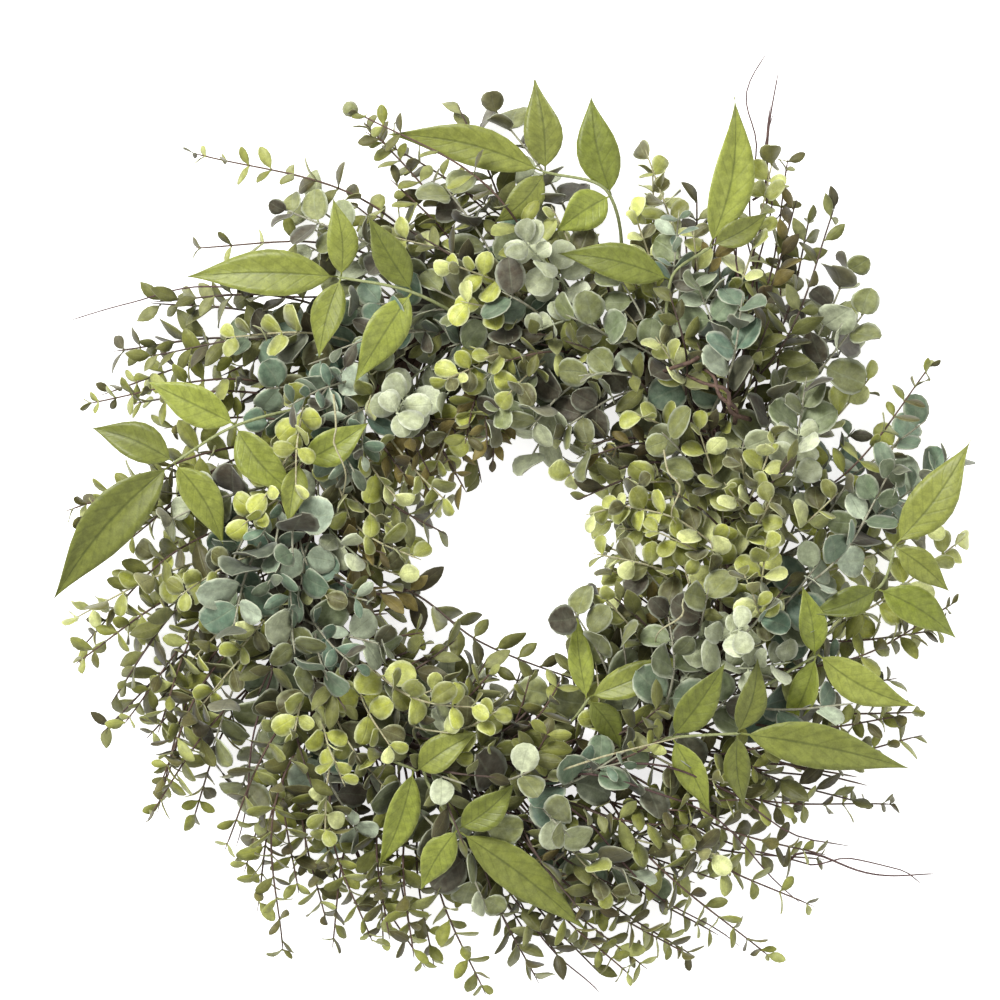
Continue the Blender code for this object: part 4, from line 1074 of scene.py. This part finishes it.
def filling_spray(letter, angle, band, rng):
    """A short spray near an angle of a band, or None if no try at it has room for its outer half."""
    kind_name, material, cast, size = FILLING[letter]
    kind = KINDS[kind_name]
    kind = kind._replace(length=kind.length * size, width=kind.width * size)
    _, _, reaches, heights, side = band
    for _ in range(FILL_TRIES):
        turn = angle + rng.uniform(-FILL_SPREAD, FILL_SPREAD)
        tip = plan(turn, rng.uniform(*reaches), rng.uniform(*heights))
        line = filling_line(tip, side, rng)
        shares = [0.45 + 0.55 * step / 4 for step in range(5)]
        points = [line.at(share)[0] for share in shares]
        space = tube_form(points, [thickness_at(share, kind) for share in shares], 0.1 * MM)
        if has_room(space) and filled.free(space) and not hides(points, large_and_pale):
            stem = filled.add(space)
            break
    else:
        return None
    count = round(line.length * LEAFY_SHARE / (LEAF_GAPS[kind_name] * size * MM))
    roll = rng.uniform(0, 180)
    leaves = []
    for index in range(count):
        part = (index + 0.5) / count
        share = FIRST_PAIR + 0.61 * part
        age = 0.15 + 0.75 * part
        leaves += leaf_pair(line, share, age, kind, roll, stem, rng, large_and_pale, FILL_LEAF_TRIES)
        roll += kind.turn + rng.uniform(-15, 15)
    return Twig(kind, line, leaves, False, False), material, cast


fillings = []
rng = random.Random(FILL_SEED)
for band in BANDS:
    letters, sprays_each, *_ = band
    for index, letter in enumerate(letters):
        for number in range(sprays_each if letter != "." else 0):
            kind_letter = PARTNERS.get(letter, letter) if number == 1 else letter
            made = filling_spray(kind_letter, index * LETTER_ANGLE, band, rng)
            if made:
                fillings.append((index * LETTER_ANGLE, *made))
print("filling sprays:", len(fillings), "with leaves:", sum(len(made[1].leaves) for made in fillings))

# %% [markdown]
# ## Bare strands and stalks
#
# Thin strands without leaves stick out of the rim, a few loose ends of the vine show among the leaves, and
# pale stalks lie over them. Each is a smooth line through a few points, as the stems are.

# %% Bare strands and stalks
# Strands at the upper right, the lower right and the lower left, by the points they pass: an angle, a reach
# and a height (mm)
STRANDS = (
    ((30, 152, 30), (43.4, 210, 46), (51.5, 260, 48), (54.5, 290, 46), (57.7, 310, 44), (59.3, 336, 44)),
    ((33, 152, 30), (44.3, 205, 52), (53.9, 244, 54), (54.2, 262, 50), (58.7, 280, 50), (57.5, 304, 46)),
    ((28, 152, 30), (43.1, 211, 40), (48.2, 240, 42), (54.3, 266, 40), (51.6, 282, 38), (53.6, 297, 36)),
    ((270, 152, 40), (292, 160, 66), (303.4, 196, 60), (308, 250, 44), (308.8, 299, 24)),
    ((282, 152, 40), (303.3, 165, 66), (310.5, 207, 58), (314.5, 257, 44), (318.2, 295, 30)),
    ((262, 152, 40), (280.2, 167, 64), (288.7, 215, 50), (294.6, 260, 34), (299.4, 301, 18)),
    ((190, 152, 40), (213.7, 201, 52), (221.6, 237, 38), (227, 269, 24)),
)
# Loose ends of the vine that show among the leaves at the upper right
LOOSE_ENDS = (
    ((30, 166, 62), (33, 171, 78), (37, 167, 84), (41, 172, 80), (45, 170, 62)),
    ((29, 176, 62), (33, 167, 80), (37, 173, 84), (41, 165, 80), (46, 160, 62)),
    ((44, 186, 56), (46, 178, 72), (47, 168, 78), (49, 158, 74), (51, 148, 58)),
)
# Pale bare stalks that lie over the leaves
STALKS = (
    ((34, 117, 82), (27, 112, 88), (21, 115, 88), (14, 105, 84), (9, 107, 66)),
    ((139.3, 156, 84), (146.3, 140, 90), (149, 138, 88), (155, 122, 86), (163, 118, 66)),
    ((281.6, 147, 72), (292.5, 146, 84), (302.7, 152, 86), (311.7, 163, 80)),
    ((349, 120, 80), (343, 114, 88), (339, 117, 88), (331, 108, 84), (326, 110, 68)),
)


def bare_line(way, kind):
    """A stem without leaves through these points."""
    return Twig(kind, Line([plan(*point) for point in way]), [], False, False)


loose_vine = KINDS["twig"]._replace(thick=2.2 * MM, thin=1.4 * MM)
strands = [bare_line(way, KINDS["twig"]) for way in STRANDS]
vine_ends = [bare_line(way, loose_vine) for way in LOOSE_ENDS]
pale_stalk = KINDS["baby"]._replace(thick=1.0 * MM, thin=0.6 * MM)
stalks = [bare_line(way, pale_stalk) for way in STALKS]
print("bare strands, vine ends and stalks:", len(strands), len(vine_ends), len(stalks))

# %% [markdown]
# ## A leaf and a rod, made once each
#
# Every leaf starts as the same flat grid, made solid, whose x runs along the leaf, y across it and z from its
# lower to its upper face. A copy of it is bent into each leaf's place. A stem starts as a straight rod, cut
# into rings, and is bent along its line in the same way. All the leaves of a shape then have the same few
# faces, and each one's own size, twist and curl comes from its place.

# %% Patterns to bend into place
GRIDS = {
    # faces along and across the blade
    "laurel": (14, 6),
    "dollar": (8, 4),
    "young dollar": (8, 4),
    "baby": (8, 2),
    "olive": (8, 2),
    "willow": (7, 2),
}


def mesh_of(bm, name):
    """The mesh that a bmesh has become. The bmesh is freed."""
    mesh = bpy.data.meshes.new(name)
    bm.to_mesh(mesh)
    bm.free()
    return mesh


def row_share(row, rows, stalk):
    """How far along a leaf a row of its grid is. The rows are closer at the stalk and at the tip."""
    if row == 0:
        return 0.0
    return stalk + (1 - stalk) * (1 - math.cos(math.pi * (row - 1) / (rows - 1))) / 2


def leaf_pattern(name, along, across, stalk):
    """A slab whose x runs from 0 to 1, y from -1 to 1 and z from -1 to 1, with a UV map along the blade."""
    bm = bmesh.new()
    bmesh.ops.create_grid(bm, x_segments=along, y_segments=across, size=1)
    bmesh.ops.solidify(bm, geom=bm.faces[:], thickness=0.1)
    level = sum(vert.co.z for vert in bm.verts) / len(bm.verts)
    for vert in bm.verts:
        vert.co.x = row_share(round((vert.co.x + 1) / 2 * along), along, stalk)
        vert.co.z = 1.0 if vert.co.z > level else -1.0
    bmesh.ops.recalc_face_normals(bm, faces=bm.faces[:])
    blade = bm.loops.layers.uv.new("blade")
    for face in bm.faces:
        face.smooth = True
        for loop in face.loops:
            loop[blade].uv = (loop.vert.co.x, (loop.vert.co.y + 1) / 2)
    return mesh_of(bm, name)


def rod_pattern(name, sides, rings):
    """A closed rod round z, from 0 to 1, of radius 1."""
    bm = bmesh.new()
    bmesh.ops.create_cone(bm, cap_ends=True, segments=sides, radius1=1, radius2=1, depth=1)
    upright = [edge for edge in bm.edges if abs(edge.verts[0].co.z - edge.verts[1].co.z) > 0.5]
    bmesh.ops.subdivide_edges(bm, edges=upright, cuts=rings - 2)
    bmesh.ops.translate(bm, verts=bm.verts[:], vec=(0, 0, 0.5))
    bm.loops.layers.uv.new("blade")
    for face in bm.faces:
        face.smooth = len(face.verts) == 4
    return mesh_of(bm, name)


def ball_pattern(name):
    """A round bud with a knobbly skin, of radius 1."""
    bm = bmesh.new()
    bmesh.ops.create_icosphere(bm, subdivisions=4, radius=1)
    for vert in bm.verts:
        vert.co *= 1 + 0.10 * noise.noise(vert.co * 3.5)
    bm.loops.layers.uv.new("blade")
    for face in bm.faces:
        face.smooth = True
    return mesh_of(bm, name)


leaf_patterns = {name: leaf_pattern(f"{name} pattern", *GRIDS[name], SHAPES[name].stalk) for name in SHAPES}
stem_pattern = rod_pattern("stem pattern", 6, 40)
short_stem_pattern = rod_pattern("short stem pattern", 5, 18)
bud_pattern = ball_pattern("bud pattern")
print("faces of a leaf:", {name: len(mesh.polygons) for name, mesh in leaf_patterns.items()})

# %% [markdown]
# ## Bent into place
#
# A rule takes each point of a pattern to its place on the wreath. A leaf's rule gives the blade its outline,
# then dishes, waves, twists and droops it by a little chance, because no two real leaves lie alike. A stem's
# rule lays the rod along the stem's line, with a small swelling at each pair of leaves.

# %% The rule of a leaf
LEAF_THICK = 0.45 * MM
STALK_RADIUS = 0.55 * MM
LEAST_HEIGHT = 0.5 * MM  # of a leaf's skin over the floor
WAVE = (0.03, 0.09)  # how high a blade's edges wave, as a share of its half width
CURL = (-0.06, 0.10)  # how much more than its shape says a leaf droops
VEER = 0.07  # how far a leaf bends sideways, as a share of its length
TWIST = 0.6  # how far its tip is turned (radians)
DISH = (0.5, 1.9)  # how much of its shape's cup a leaf has
LAUREL_TAPER = 0.45  # how much a laurel leaf's last part is narrowed


def leaf_place(leaf, rng):
    """The rule that bends the pattern of a blade into a leaf's place."""
    shape = leaf.shape
    pointed = shape in (SHAPES["laurel"], SHAPES["olive"], SHAPES["willow"])
    wave, phase = rng.uniform(*WAVE), rng.uniform(0, 6)
    curl = rng.uniform(*CURL)
    veer = rng.uniform(-VEER, VEER)
    twist = rng.uniform(-TWIST, TWIST)
    dish = shape.cup * rng.uniform(*DISH)
    taper = LAUREL_TAPER if shape is SHAPES["laurel"] else 0.0

    def place(x, y, z):
        half = leaf.half_width * outline(shape, x) * (1 - taper * max(0, x - 0.62))
        half = max(half, STALK_RADIUS * (1 if x < 0.5 else 0.1))
        lift = dish * half * (abs(y) if pointed else y * y * 1.2)
        lift += wave * leaf.half_width * math.sin(7 * x + phase) * y * abs(y) + z * LEAF_THICK / 2
        lift += z * STALK_RADIUS * 0.8 * max(0, 1 - x * 6) * (1 - abs(y) * 0.4)
        turn = twist * x * x
        side = leaf.side * math.cos(turn) + leaf.normal * math.sin(turn)
        up = leaf.normal * math.cos(turn) - leaf.side * math.sin(turn)
        spine = leaf.base + leaf.along * leaf.length * x
        spine += leaf.side * leaf.length * veer * math.sin(math.pi * x)
        spine -= leaf.normal * (shape.droop + curl * x) * leaf.length * x * x
        point = spine + side * half * y + up * lift
        point.z = max(point.z, LEAST_HEIGHT)
        return point

    return place

# %% The rules of a stem and of the bud
STEM_SHARE = 0.8  # of the solids' stems, which are thicker so that they are sound
TWIG_SHARE = 0.8  # of that, for a bare twig
TWIG_SWAY = 2.2 * MM  # how far a bare twig winds about its line
SWAY_RUN = 17 * MM  # of its length, for each radian that it winds
SWELLING = 0.35  # how much thicker a stem is at a pair of leaves
SWELLING_REACH = 1.6 * MM


def stem_place(line, kind, rng):
    """The rule that bends a rod along a stem, thicker at each pair of leaves, and pointed at its tip. A bare
    twig winds a little about its line."""
    marks = pair_marks(kind) if kind.pairs else []
    bare = kind is KINDS["twig"]
    wander = TWIG_SWAY if bare else 0
    phase = rng.uniform(0, 6)

    def place(x, y, z):
        point, tangent = line.at(z)
        side, upward = frame_of(tangent)
        radius = thickness_at(z, kind) * STEM_SHARE * (TWIG_SHARE if bare else 1) * (1 if z < 0.985 else 0.4)
        swellings = [1 - abs(z - mark) * line.length / SWELLING_REACH for mark in marks]
        radius *= 1 + SWELLING * max([0, *swellings])
        turn = z * line.length / SWAY_RUN + phase
        sway = (side * math.sin(turn) + upward * 0.5 * math.cos(turn * 1.3)) * wander * min(1, z * 4)
        point = point + sway + (side * x + upward * y) * radius
        point.z = max(point.z, (y + 1) * radius)
        return point

    return place


def bud_place(line):
    """The rule that puts the bud on the end of its stem."""
    end, tangent = line.at(1)

    def place(x, y, z):
        return end + tangent * BUD_RADIUS * 0.8 + Vector((x, y, z)) * BUD_RADIUS * 1.05

    return place

# %% Twigs as one mesh
BUD_TONE = (0.15, 0.0, 0.0)


def empty_piece():
    """A bmesh with what the finishes read: a tone at each point and a map of the blade."""
    bm = bmesh.new()
    bm.verts.layers.float_color.new("tone")
    bm.loops.layers.uv.new("blade")
    return bm


def add_pattern(bm, pattern, place, tone, material):
    """Copies a pattern into a mesh, moves each of its points by a rule, and marks its tone."""
    first = len(bm.verts)
    first_face = len(bm.faces)
    bm.from_mesh(pattern)
    bm.verts.ensure_lookup_table()
    bm.faces.ensure_lookup_table()
    layer = bm.verts.layers.float_color["tone"]
    for vert in bm.verts[first:]:
        upper = 0.5 + vert.co.z / 2
        vert.co = place(*vert.co)
        vert[layer] = (tone[0], tone[1], upper, tone[2])
    for face in bm.faces[first_face:]:
        face.material_index = material


def add_twigs(bm, group, rng):
    """Twigs with their leaves: the first material is the leaves' and the second the stems'."""
    for twig, cast in group:
        rod = stem_pattern if twig.main else short_stem_pattern
        add_pattern(bm, rod, stem_place(twig.line, twig.kind, rng), (rng.random(), 0, cast), 1)
        if twig.bud:
            add_pattern(bm, bud_pattern, bud_place(twig.line), BUD_TONE, 0)
        for leaf, part in twig.leaves:
            pattern = leaf_patterns[next(key for key in SHAPES if SHAPES[key] is leaf.shape)]
            tone = (rng.random(), min(max(part + rng.uniform(-0.15, 0.15), 0), 1), cast)
            add_pattern(bm, pattern, leaf_place(leaf, rng), tone, 0)

# %% [markdown]
# ## Finishes
#
# All the leaves share one surface, with its own colours for each kind: a pale rib and side veins along the
# blade, a lighter rim, a powdery bloom in patches, a duller underside, and younger, yellower leaves towards
# the tip of each stem. It is a node group, placed in each kind's material. A few helpers come first, so that
# each line of the group reads as one step.

# %% Helpers for nodes
def new_group(name, inputs, outputs):
    """An empty node group with these sockets, each as its name and type."""
    group = bpy.data.node_groups.new(name, "ShaderNodeTree")
    for way, sockets in (("INPUT", inputs), ("OUTPUT", outputs)):
        for socket, kind in sockets:
            group.interface.new_socket(socket, in_out=way, socket_type=kind)
    return group


def add_node(tree, kind, values=None, **settings):
    """A node with its settings, and values for its inputs by name or number. A value may be a socket."""
    node = tree.nodes.new(kind)
    for key, value in settings.items():
        setattr(node, key, value)
    for key, value in (values or {}).items():
        if isinstance(value, bpy.types.NodeSocket):
            tree.links.new(value, node.inputs[key])
        else:
            node.inputs[key].default_value = value
    return node


def calc(tree, operation, *values, clamp=False):
    """The result of a sum."""
    settings = {"operation": operation, "use_clamp": clamp}
    return add_node(tree, "ShaderNodeMath", dict(enumerate(values)), **settings).outputs[0]


def mix_colour(tree, factor, first, second, blend="MIX"):
    """A mix of two colours."""
    values = {0: factor, 6: first, 7: second}
    return add_node(tree, "ShaderNodeMix", values, data_type="RGBA", blend_type=blend).outputs[2]


def grain(tree, scale, detail, distortion=0.0):
    """Soft noise that stays with the object, of this scale."""
    place = add_node(tree, "ShaderNodeTexCoord").outputs["Object"]
    values = {"Vector": place, "Scale": scale, "Detail": detail, "Distortion": distortion}
    return add_node(tree, "ShaderNodeTexNoise", values).outputs[0]

# %% The leaf skin's sockets, and where a point is on its leaf
COLOUR, VALUE = "NodeSocketColor", "NodeSocketFloat"
LOOK = ("Leaf", "Cast", "Young", "Rim", "Rib", "Under")
MEASURES = ("Veins", "Vein strength", "Rim width", "Bloom", "Mottle", "Odd leaves", "Rib strength")
skin = new_group(
    "leaf skin",
    [(socket, COLOUR) for socket in LOOK] + [(socket, VALUE) for socket in MEASURES],
    [("Color", COLOUR), ("Height", VALUE)],
)
given = skin.nodes.new("NodeGroupInput").outputs
leave = skin.nodes.new("NodeGroupOutput")


def times(first, second):
    """The product of two values of the leaf skin."""
    return calc(skin, "MULTIPLY", first, second)


def scaled(value, factor, shift, clamp=False):
    """A value of the leaf skin, multiplied and then shifted."""
    return calc(skin, "MULTIPLY_ADD", value, factor, shift, clamp=clamp)


def rest_of(value, clamp=False):
    """One less a value of the leaf skin."""
    return calc(skin, "SUBTRACT", 1.0, value, clamp=clamp)


# A leaf's tone is its lot, its age, which side of the blade a point is on, and its cast
tone = add_node(skin, "ShaderNodeVertexColor", layer_name="tone").outputs
lot, age, upper = add_node(skin, "ShaderNodeSeparateColor", {0: tone["Color"]}).outputs
blade = add_node(skin, "ShaderNodeUVMap", uv_map="blade").outputs[0]
along, across, _ = add_node(skin, "ShaderNodeSeparateXYZ", {0: blade}).outputs

# %% Rib, side veins and rim
RIB_WIDTH = 0.09
VEIN_SLANT = -0.22
VEIN_SHARPNESS = 7.0

# The rib runs along the middle, and the side veins slant off it towards the tip
from_rib = calc(skin, "ABSOLUTE", scaled(across, 2.0, -1.0))
rib = rest_of(calc(skin, "DIVIDE", from_rib, RIB_WIDTH), clamp=True)
wave = calc(skin, "FRACT", times(scaled(from_rib, VEIN_SLANT, along), given["Veins"]))
off_vein = calc(skin, "ABSOLUTE", calc(skin, "SUBTRACT", wave, 0.5))
vein = times(rest_of(times(off_vein, VEIN_SHARPNESS), clamp=True), given["Vein strength"])
past_rim = calc(skin, "SUBTRACT", from_rib, rest_of(given["Rim width"]))
rim = calc(skin, "DIVIDE", past_rim, given["Rim width"], clamp=True)

# %% Bloom, blotches and specks
patch = scaled(grain(skin, 140.0, 3.0), 2.4, -0.85, clamp=True)
blotch = scaled(grain(skin, 210.0, 5.0), 4.5, -1.75, clamp=True)
speckle = grain(skin, 900.0, 2.0)

# %% The colours of a leaf, laid over each other
own_cast = calc(skin, "ADD", tone["Alpha"], scaled(lot, 0.5, -0.25), clamp=True)
own_age = times(age, scaled(own_cast, -0.8, 1.0))
dark_lot = scaled(lot, -9.0, 2.2, clamp=True)
pale_lot = scaled(lot, 9.0, -7.2, clamp=True)
layers = (
    (own_cast, "Cast"),
    (own_age, "Young"),
    (times(dark_lot, given["Odd leaves"]), "Under"),
    (times(pale_lot, times(given["Odd leaves"], 0.5)), "Rim"),
    (times(patch, given["Bloom"]), "Rim"),
    (times(rim, 0.9), "Rim"),
    (times(vein, 0.6), "Rib"),
    (times(rib, given["Rib strength"]), "Rib"),
    (times(rest_of(upper), 0.7), "Under"),
)
colour = given["Leaf"]
for share, over in layers:
    colour = mix_colour(skin, share, colour, given[over])

# Some leaves are darker than others, and all have fine specks and darker blotches
shade = times(scaled(lot, 0.74, 0.66), scaled(speckle, 0.5, 0.75))
shade = times(shade, rest_of(times(rest_of(blotch), given["Mottle"])))
grey = add_node(skin, "ShaderNodeCombineColor", {0: shade, 1: shade, 2: shade}).outputs[0]
skin.links.new(mix_colour(skin, 1.0, colour, grey, "MULTIPLY"), leave.inputs["Color"])
height = scaled(speckle, 0.3, calc(skin, "ADD", vein, rib))
skin.links.new(height, leave.inputs["Height"])
print("nodes of the leaf skin:", len(skin.nodes))

# %% Materials
LEAVES = {
    # leaf, cast, young, rim, rib and under, as they look on the screen
    "laurel": ((112, 122, 40), (132, 140, 56), (136, 142, 62), (155, 162, 90), (84, 92, 34), (120, 126, 70)),
    "dollar": ((96, 100, 56), (90, 120, 103), (136, 140, 78), (199, 205, 178), (151, 159, 128), (86, 76, 58)),
    "baby": ((114, 118, 42), (172, 177, 66), (174, 179, 80), (218, 222, 172), (187, 193, 128), (92, 84, 45)),
    "frost": (
        (150, 158, 116), (182, 188, 148), (186, 192, 150), (212, 217, 192), (190, 195, 160), (120, 126, 90)
    ),
    "olive": ((82, 82, 38), (98, 102, 44), (118, 120, 56), (140, 142, 100), (124, 124, 82), (76, 64, 42)),
    "russet": ((90, 82, 40), (106, 88, 42), (128, 118, 52), (134, 124, 74), (134, 124, 76), (82, 66, 42)),
    "willow": ((104, 106, 42), (135, 139, 56), (149, 152, 68), (166, 171, 114), (149, 152, 90), (88, 76, 46)),
}
SURFACES = {
    # veins, vein strength, rim width, bloom, mottle, odd leaves, rib strength and roughness
    "laurel": (8, 0.40, 0.10, 0.25, 0.24, 0, 0.75, 0.42),
    "dollar": (6, 0.15, 0.22, 0.22, 0.28, 1.0, 0.3, 0.55),
    "baby": (5, 0.15, 0.30, 0.30, 0.24, 0.9, 0.3, 0.5),
    "frost": (5, 0.15, 0.30, 0.50, 0.25, 0.7, 0.4, 0.7),
    "olive": (7, 0.20, 0.12, 0.20, 0.25, 0.8, 0.4, 0.5),
    "russet": (7, 0.20, 0.12, 0.20, 0.25, 0.6, 0.4, 0.55),
    "willow": (6, 0.15, 0.12, 0.20, 0.25, 0.8, 0.4, 0.5),
}
LEAF_GLOSS = {"Specular IOR Level": 0.35, "Sheen Weight": 0.15, "Sheen Roughness": 0.5}
BARKS = {
    # colour, second colour, pattern's scale, bump distance in metres
    "laurel": ((158, 164, 118), (122, 130, 76), 300, 0.0003),
    "dollar": ((172, 174, 150), (124, 116, 98), 300, 0.0003),
    "baby": ((190, 190, 152), (146, 132, 100), 300, 0.0003),
    "frost": ((180, 186, 156), (142, 146, 114), 300, 0.0003),
    "olive": ((92, 78, 66), (70, 52, 48), 300, 0.0003),
    "willow": ((104, 84, 68), (80, 58, 54), 300, 0.0003),
    "twig": ((104, 80, 76), (70, 50, 48), 260, 0.0006),
    "vine": ((112, 88, 74), (62, 46, 40), 160, 0.0015),
}


def srgb(colour):
    """A colour as it looks on the screen, 0 to 255, as the light that makes it."""
    return tuple(((c / 255 + 0.055) / 1.055) ** 2.4 for c in colour) + (1.0,)


def new_material(name):
    """A new material, with its node tree and its shader."""
    material = bpy.data.materials.new(name)
    material.use_nodes = True
    tree = material.node_tree
    return material, tree, tree.nodes["Principled BSDF"]


def set_sockets(node, values):
    """Sets a node's own sockets, by name."""
    for key, value in values.items():
        node.inputs[key].default_value = value


def add_relief(tree, shader, strength, distance, height):
    """Small bumps on a surface."""
    bump = add_node(tree, "ShaderNodeBump", {"Strength": strength, "Distance": distance, "Height": height})
    tree.links.new(bump.outputs[0], shader.inputs["Normal"])


def leaf_material(name):
    """The material of one kind of leaf."""
    material, tree, shader = new_material(f"{name} leaf")
    face = add_node(tree, "ShaderNodeGroup", node_tree=skin)
    *measures, roughness = SURFACES[name]
    for socket, value in zip(face.inputs, [srgb(colour) for colour in LEAVES[name]] + measures):
        socket.default_value = value
    tree.links.new(face.outputs["Color"], shader.inputs["Base Color"])
    add_relief(tree, shader, 0.35, 0.0006, face.outputs["Height"])
    set_sockets(shader, {"Roughness": roughness, **LEAF_GLOSS})
    return material


def bark_material(name):
    """Bark or stem skin: streaks and specks in two browns or greens."""
    light, dark, scale, bump_distance = BARKS[name]
    material, tree, shader = new_material(f"{name} stem")
    streaks = grain(tree, scale, 6.0, 1.5)
    factor = calc(tree, "MULTIPLY_ADD", streaks, 2.6, -0.8, clamp=True)
    tree.links.new(mix_colour(tree, factor, srgb(dark), srgb(light)), shader.inputs["Base Color"])
    add_relief(tree, shader, 0.6, bump_distance, streaks)
    set_sockets(shader, {"Roughness": 0.8})
    return material


leaf_materials = {name: leaf_material(name) for name in LEAVES}
bark_materials = {name: bark_material(name) for name in BARKS}
print("materials:", len(leaf_materials) + len(bark_materials))

# %% [markdown]
# ## The pieces
#
# Each solid's spray becomes one piece that replaces it. The filling sprays are joined into one piece for each
# kind and fifth of the ring, so that the wreath stays a short list of pieces. The bare strands, the pale
# stalks and the loose ends of the vine are one piece each.

# %% Put the sprays in the solids' places
# How far the leaves of a spray go towards the second colour of their kind. The others draw lots.
CASTS = {
    "dollar": (0.8, 0.05, 0.6, 0.1, 0.35, 0.1, 0.9, 0.85, 0.5, 0.9, 0.2, 0.15, 0.8, 0.4),
    "baby": (1.0, 0.6, 0.9, 0.8, 0.9, 1.0, 0.6, 0.8, 0.6),
    "olive": (0.0, 0.2, 0.1, 0.9),
}
LOOK_SEED = 31


def add_piece(name, bm, slot, materials):
    """A finished piece in the scene, with its materials. Its slot is not used."""
    piece = bpy.data.objects.new(name, mesh_of(bm, name))
    scene.collection.objects.link(piece)
    for material in materials:
        piece.data.materials.append(material)
    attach(piece, "root")
    return piece


def twig_piece(name, slot, leaf_name, group, rng):
    """Twigs as a piece in the scene. What has no leaf colour of its own takes the willow's."""
    bm = empty_piece()
    add_twigs(bm, group, rng)
    leaf = leaf_materials.get(leaf_name, leaf_materials["willow"])
    return add_piece(name, bm, slot, (leaf, bark_materials[slot]))


worst = 0
for number, (name, group) in enumerate(twigs.items()):
    rng = random.Random(LOOK_SEED + number)
    kind_name, order = name.split("_")
    cast = CASTS[kind_name][int(order) - 1] if kind_name in CASTS else rng.random()
    piece = twig_piece(f"{name}_spray", kind_name, kind_name, [(twig, cast) for twig in group], rng)
    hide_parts(name)
    low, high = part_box(name)
    corners = np.array([vert.co for vert in piece.data.vertices])
    worst = max(worst, *(np.array(low) - corners.min(0)), *(corners.max(0) - np.array(high)))
print("furthest that a spray passes its solid: %.1f mm" % (worst / MM))

# %% Add the filling sprays, strands and stalks
SECTORS = 5

rng = random.Random(LOOK_SEED)
for leaf_name in LEAVES:
    slot = "olive" if leaf_name == "russet" else leaf_name
    for sector in range(SECTORS):
        group = [
            (twig, cast)
            for angle, twig, material, cast in fillings
            if material == leaf_name and int(angle * SECTORS / 360) == sector
        ]
        if group:
            twig_piece(f"{leaf_name}_filling_{sector + 1}", slot, leaf_name, group, rng)
twig_piece("bare_strands", "twig", "willow", [(twig, 0) for twig in strands], rng)
twig_piece("bare_stalks", "baby", "baby", [(twig, 0) for twig in stalks], rng)
twig_piece("vine_ends", "vine", "willow", [(twig, 0) for twig in vine_ends], rng)
print("faces:", sum(len(o.data.polygons) for o in scene.objects if o.type == "MESH" and not o.hide_render))

# %% [markdown]
# ## Vine
#
# The thick vine and its tie are two long rods, bent along the same lines as the solids'. Their skins are
# ridged along their length and rough with noise, as bark is.

# %% Vine and tie
TIE_SHARE = 0.985  # of the tie's distance from the core line, so that its rough skin stays on the vine
THIN_SHARE = 0.95  # of the tie's radius
BARK_TONE = (0.5, 0, 0)


def vine_place(x, y, z):
    """The rule of the thick vine. Five broad ridges and nine fine ones wind along it."""
    step = z * VINE_LAST
    middle, normal, across, radius = vine_section(step)
    radius *= vine_width(step)
    angle = math.atan2(y, x)
    ridges = 0.07 * math.sin(5 * angle + step * 0.5) + 0.05 * math.sin(9 * angle - step * 0.9 + 2)
    point = middle + (normal * x + across * y) * radius
    rough = 0.10 * noise.noise(point * 90) + 0.06 * noise.noise(point * 300)
    return middle + (normal * x + across * y) * radius * (0.97 + ridges + rough)


def tie_place(x, y, z):
    """The rule of the thin vine."""
    step = z * TIE_LAST
    middle, normal, across = tie_section(step, TIE_OFFSET * TIE_SHARE)
    radius = TIE_RADIUS * THIN_SHARE * tie_width(step) * (1 + 0.12 * noise.noise(middle * 120))
    point = middle + (normal * x + across * y) * radius
    point.z = max(point.z, 0)
    return point


vine_pattern = rod_pattern("vine pattern", 12, 420)
tie_pattern = rod_pattern("tie pattern", 6, 300)
for name, pattern, rule in (("vine", vine_pattern, vine_place), ("tie", tie_pattern, tie_place)):
    bm = empty_piece()
    add_pattern(bm, pattern, rule, BARK_TONE, 0)
    piece = add_piece(f"{name}_bark", bm, "vine", [bark_materials["vine"]])
    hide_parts(name)
    print(piece.name, "faces:", len(piece.data.polygons))

# %% [markdown]
# ## Floor and light
#
# The photo has a plain white ground and soft light from all sides, a little stronger from the upper left. A
# white floor that glows a little, a pale world and two large lamps do the same.

# %% Floor, world and lamps
FLOOR_SIZE = 4
FLOOR_LOOK = {
    "Base Color": (0.93, 0.93, 0.93, 1),
    "Roughness": 0.9,
    "Emission Color": (1, 1, 1, 1),
    "Emission Strength": 0.75,
}
WORLD_LIGHT = {"Color": (1, 1, 1, 1), "Strength": 0.6}
LAMPS = (
    # name, place, size and power
    ("key lamp", (-1.4, 1.6, 2.2), 1.2, 104),
    ("fill lamp", (1.6, -0.8, 2.0), 2.0, 14),
)

bm = bmesh.new()
bmesh.ops.create_grid(bm, x_segments=1, y_segments=1, size=FLOOR_SIZE)
floor = bpy.data.objects.new("floor", mesh_of(bm, "floor"))
scene.collection.objects.link(floor)
paper, _, paper_shader = new_material("floor")
set_sockets(paper_shader, FLOOR_LOOK)
floor.data.materials.append(paper)

scene.world = bpy.data.worlds.new("studio")
scene.world.use_nodes = True
set_sockets(scene.world.node_tree.nodes["Background"], WORLD_LIGHT)
for name, spot, size, power in LAMPS:
    lamp = bpy.data.lights.new(name, "AREA")
    lamp.size = size
    lamp.energy = power
    lamp_object = bpy.data.objects.new(name, lamp)
    lamp_object.location = spot
    lamp_object.rotation_euler = (-Vector(spot)).to_track_quat("-Z", "Y").to_euler()
    scene.collection.objects.link(lamp_object)
scene.view_settings.view_transform = "Standard"
print("lamps:", len(LAMPS))
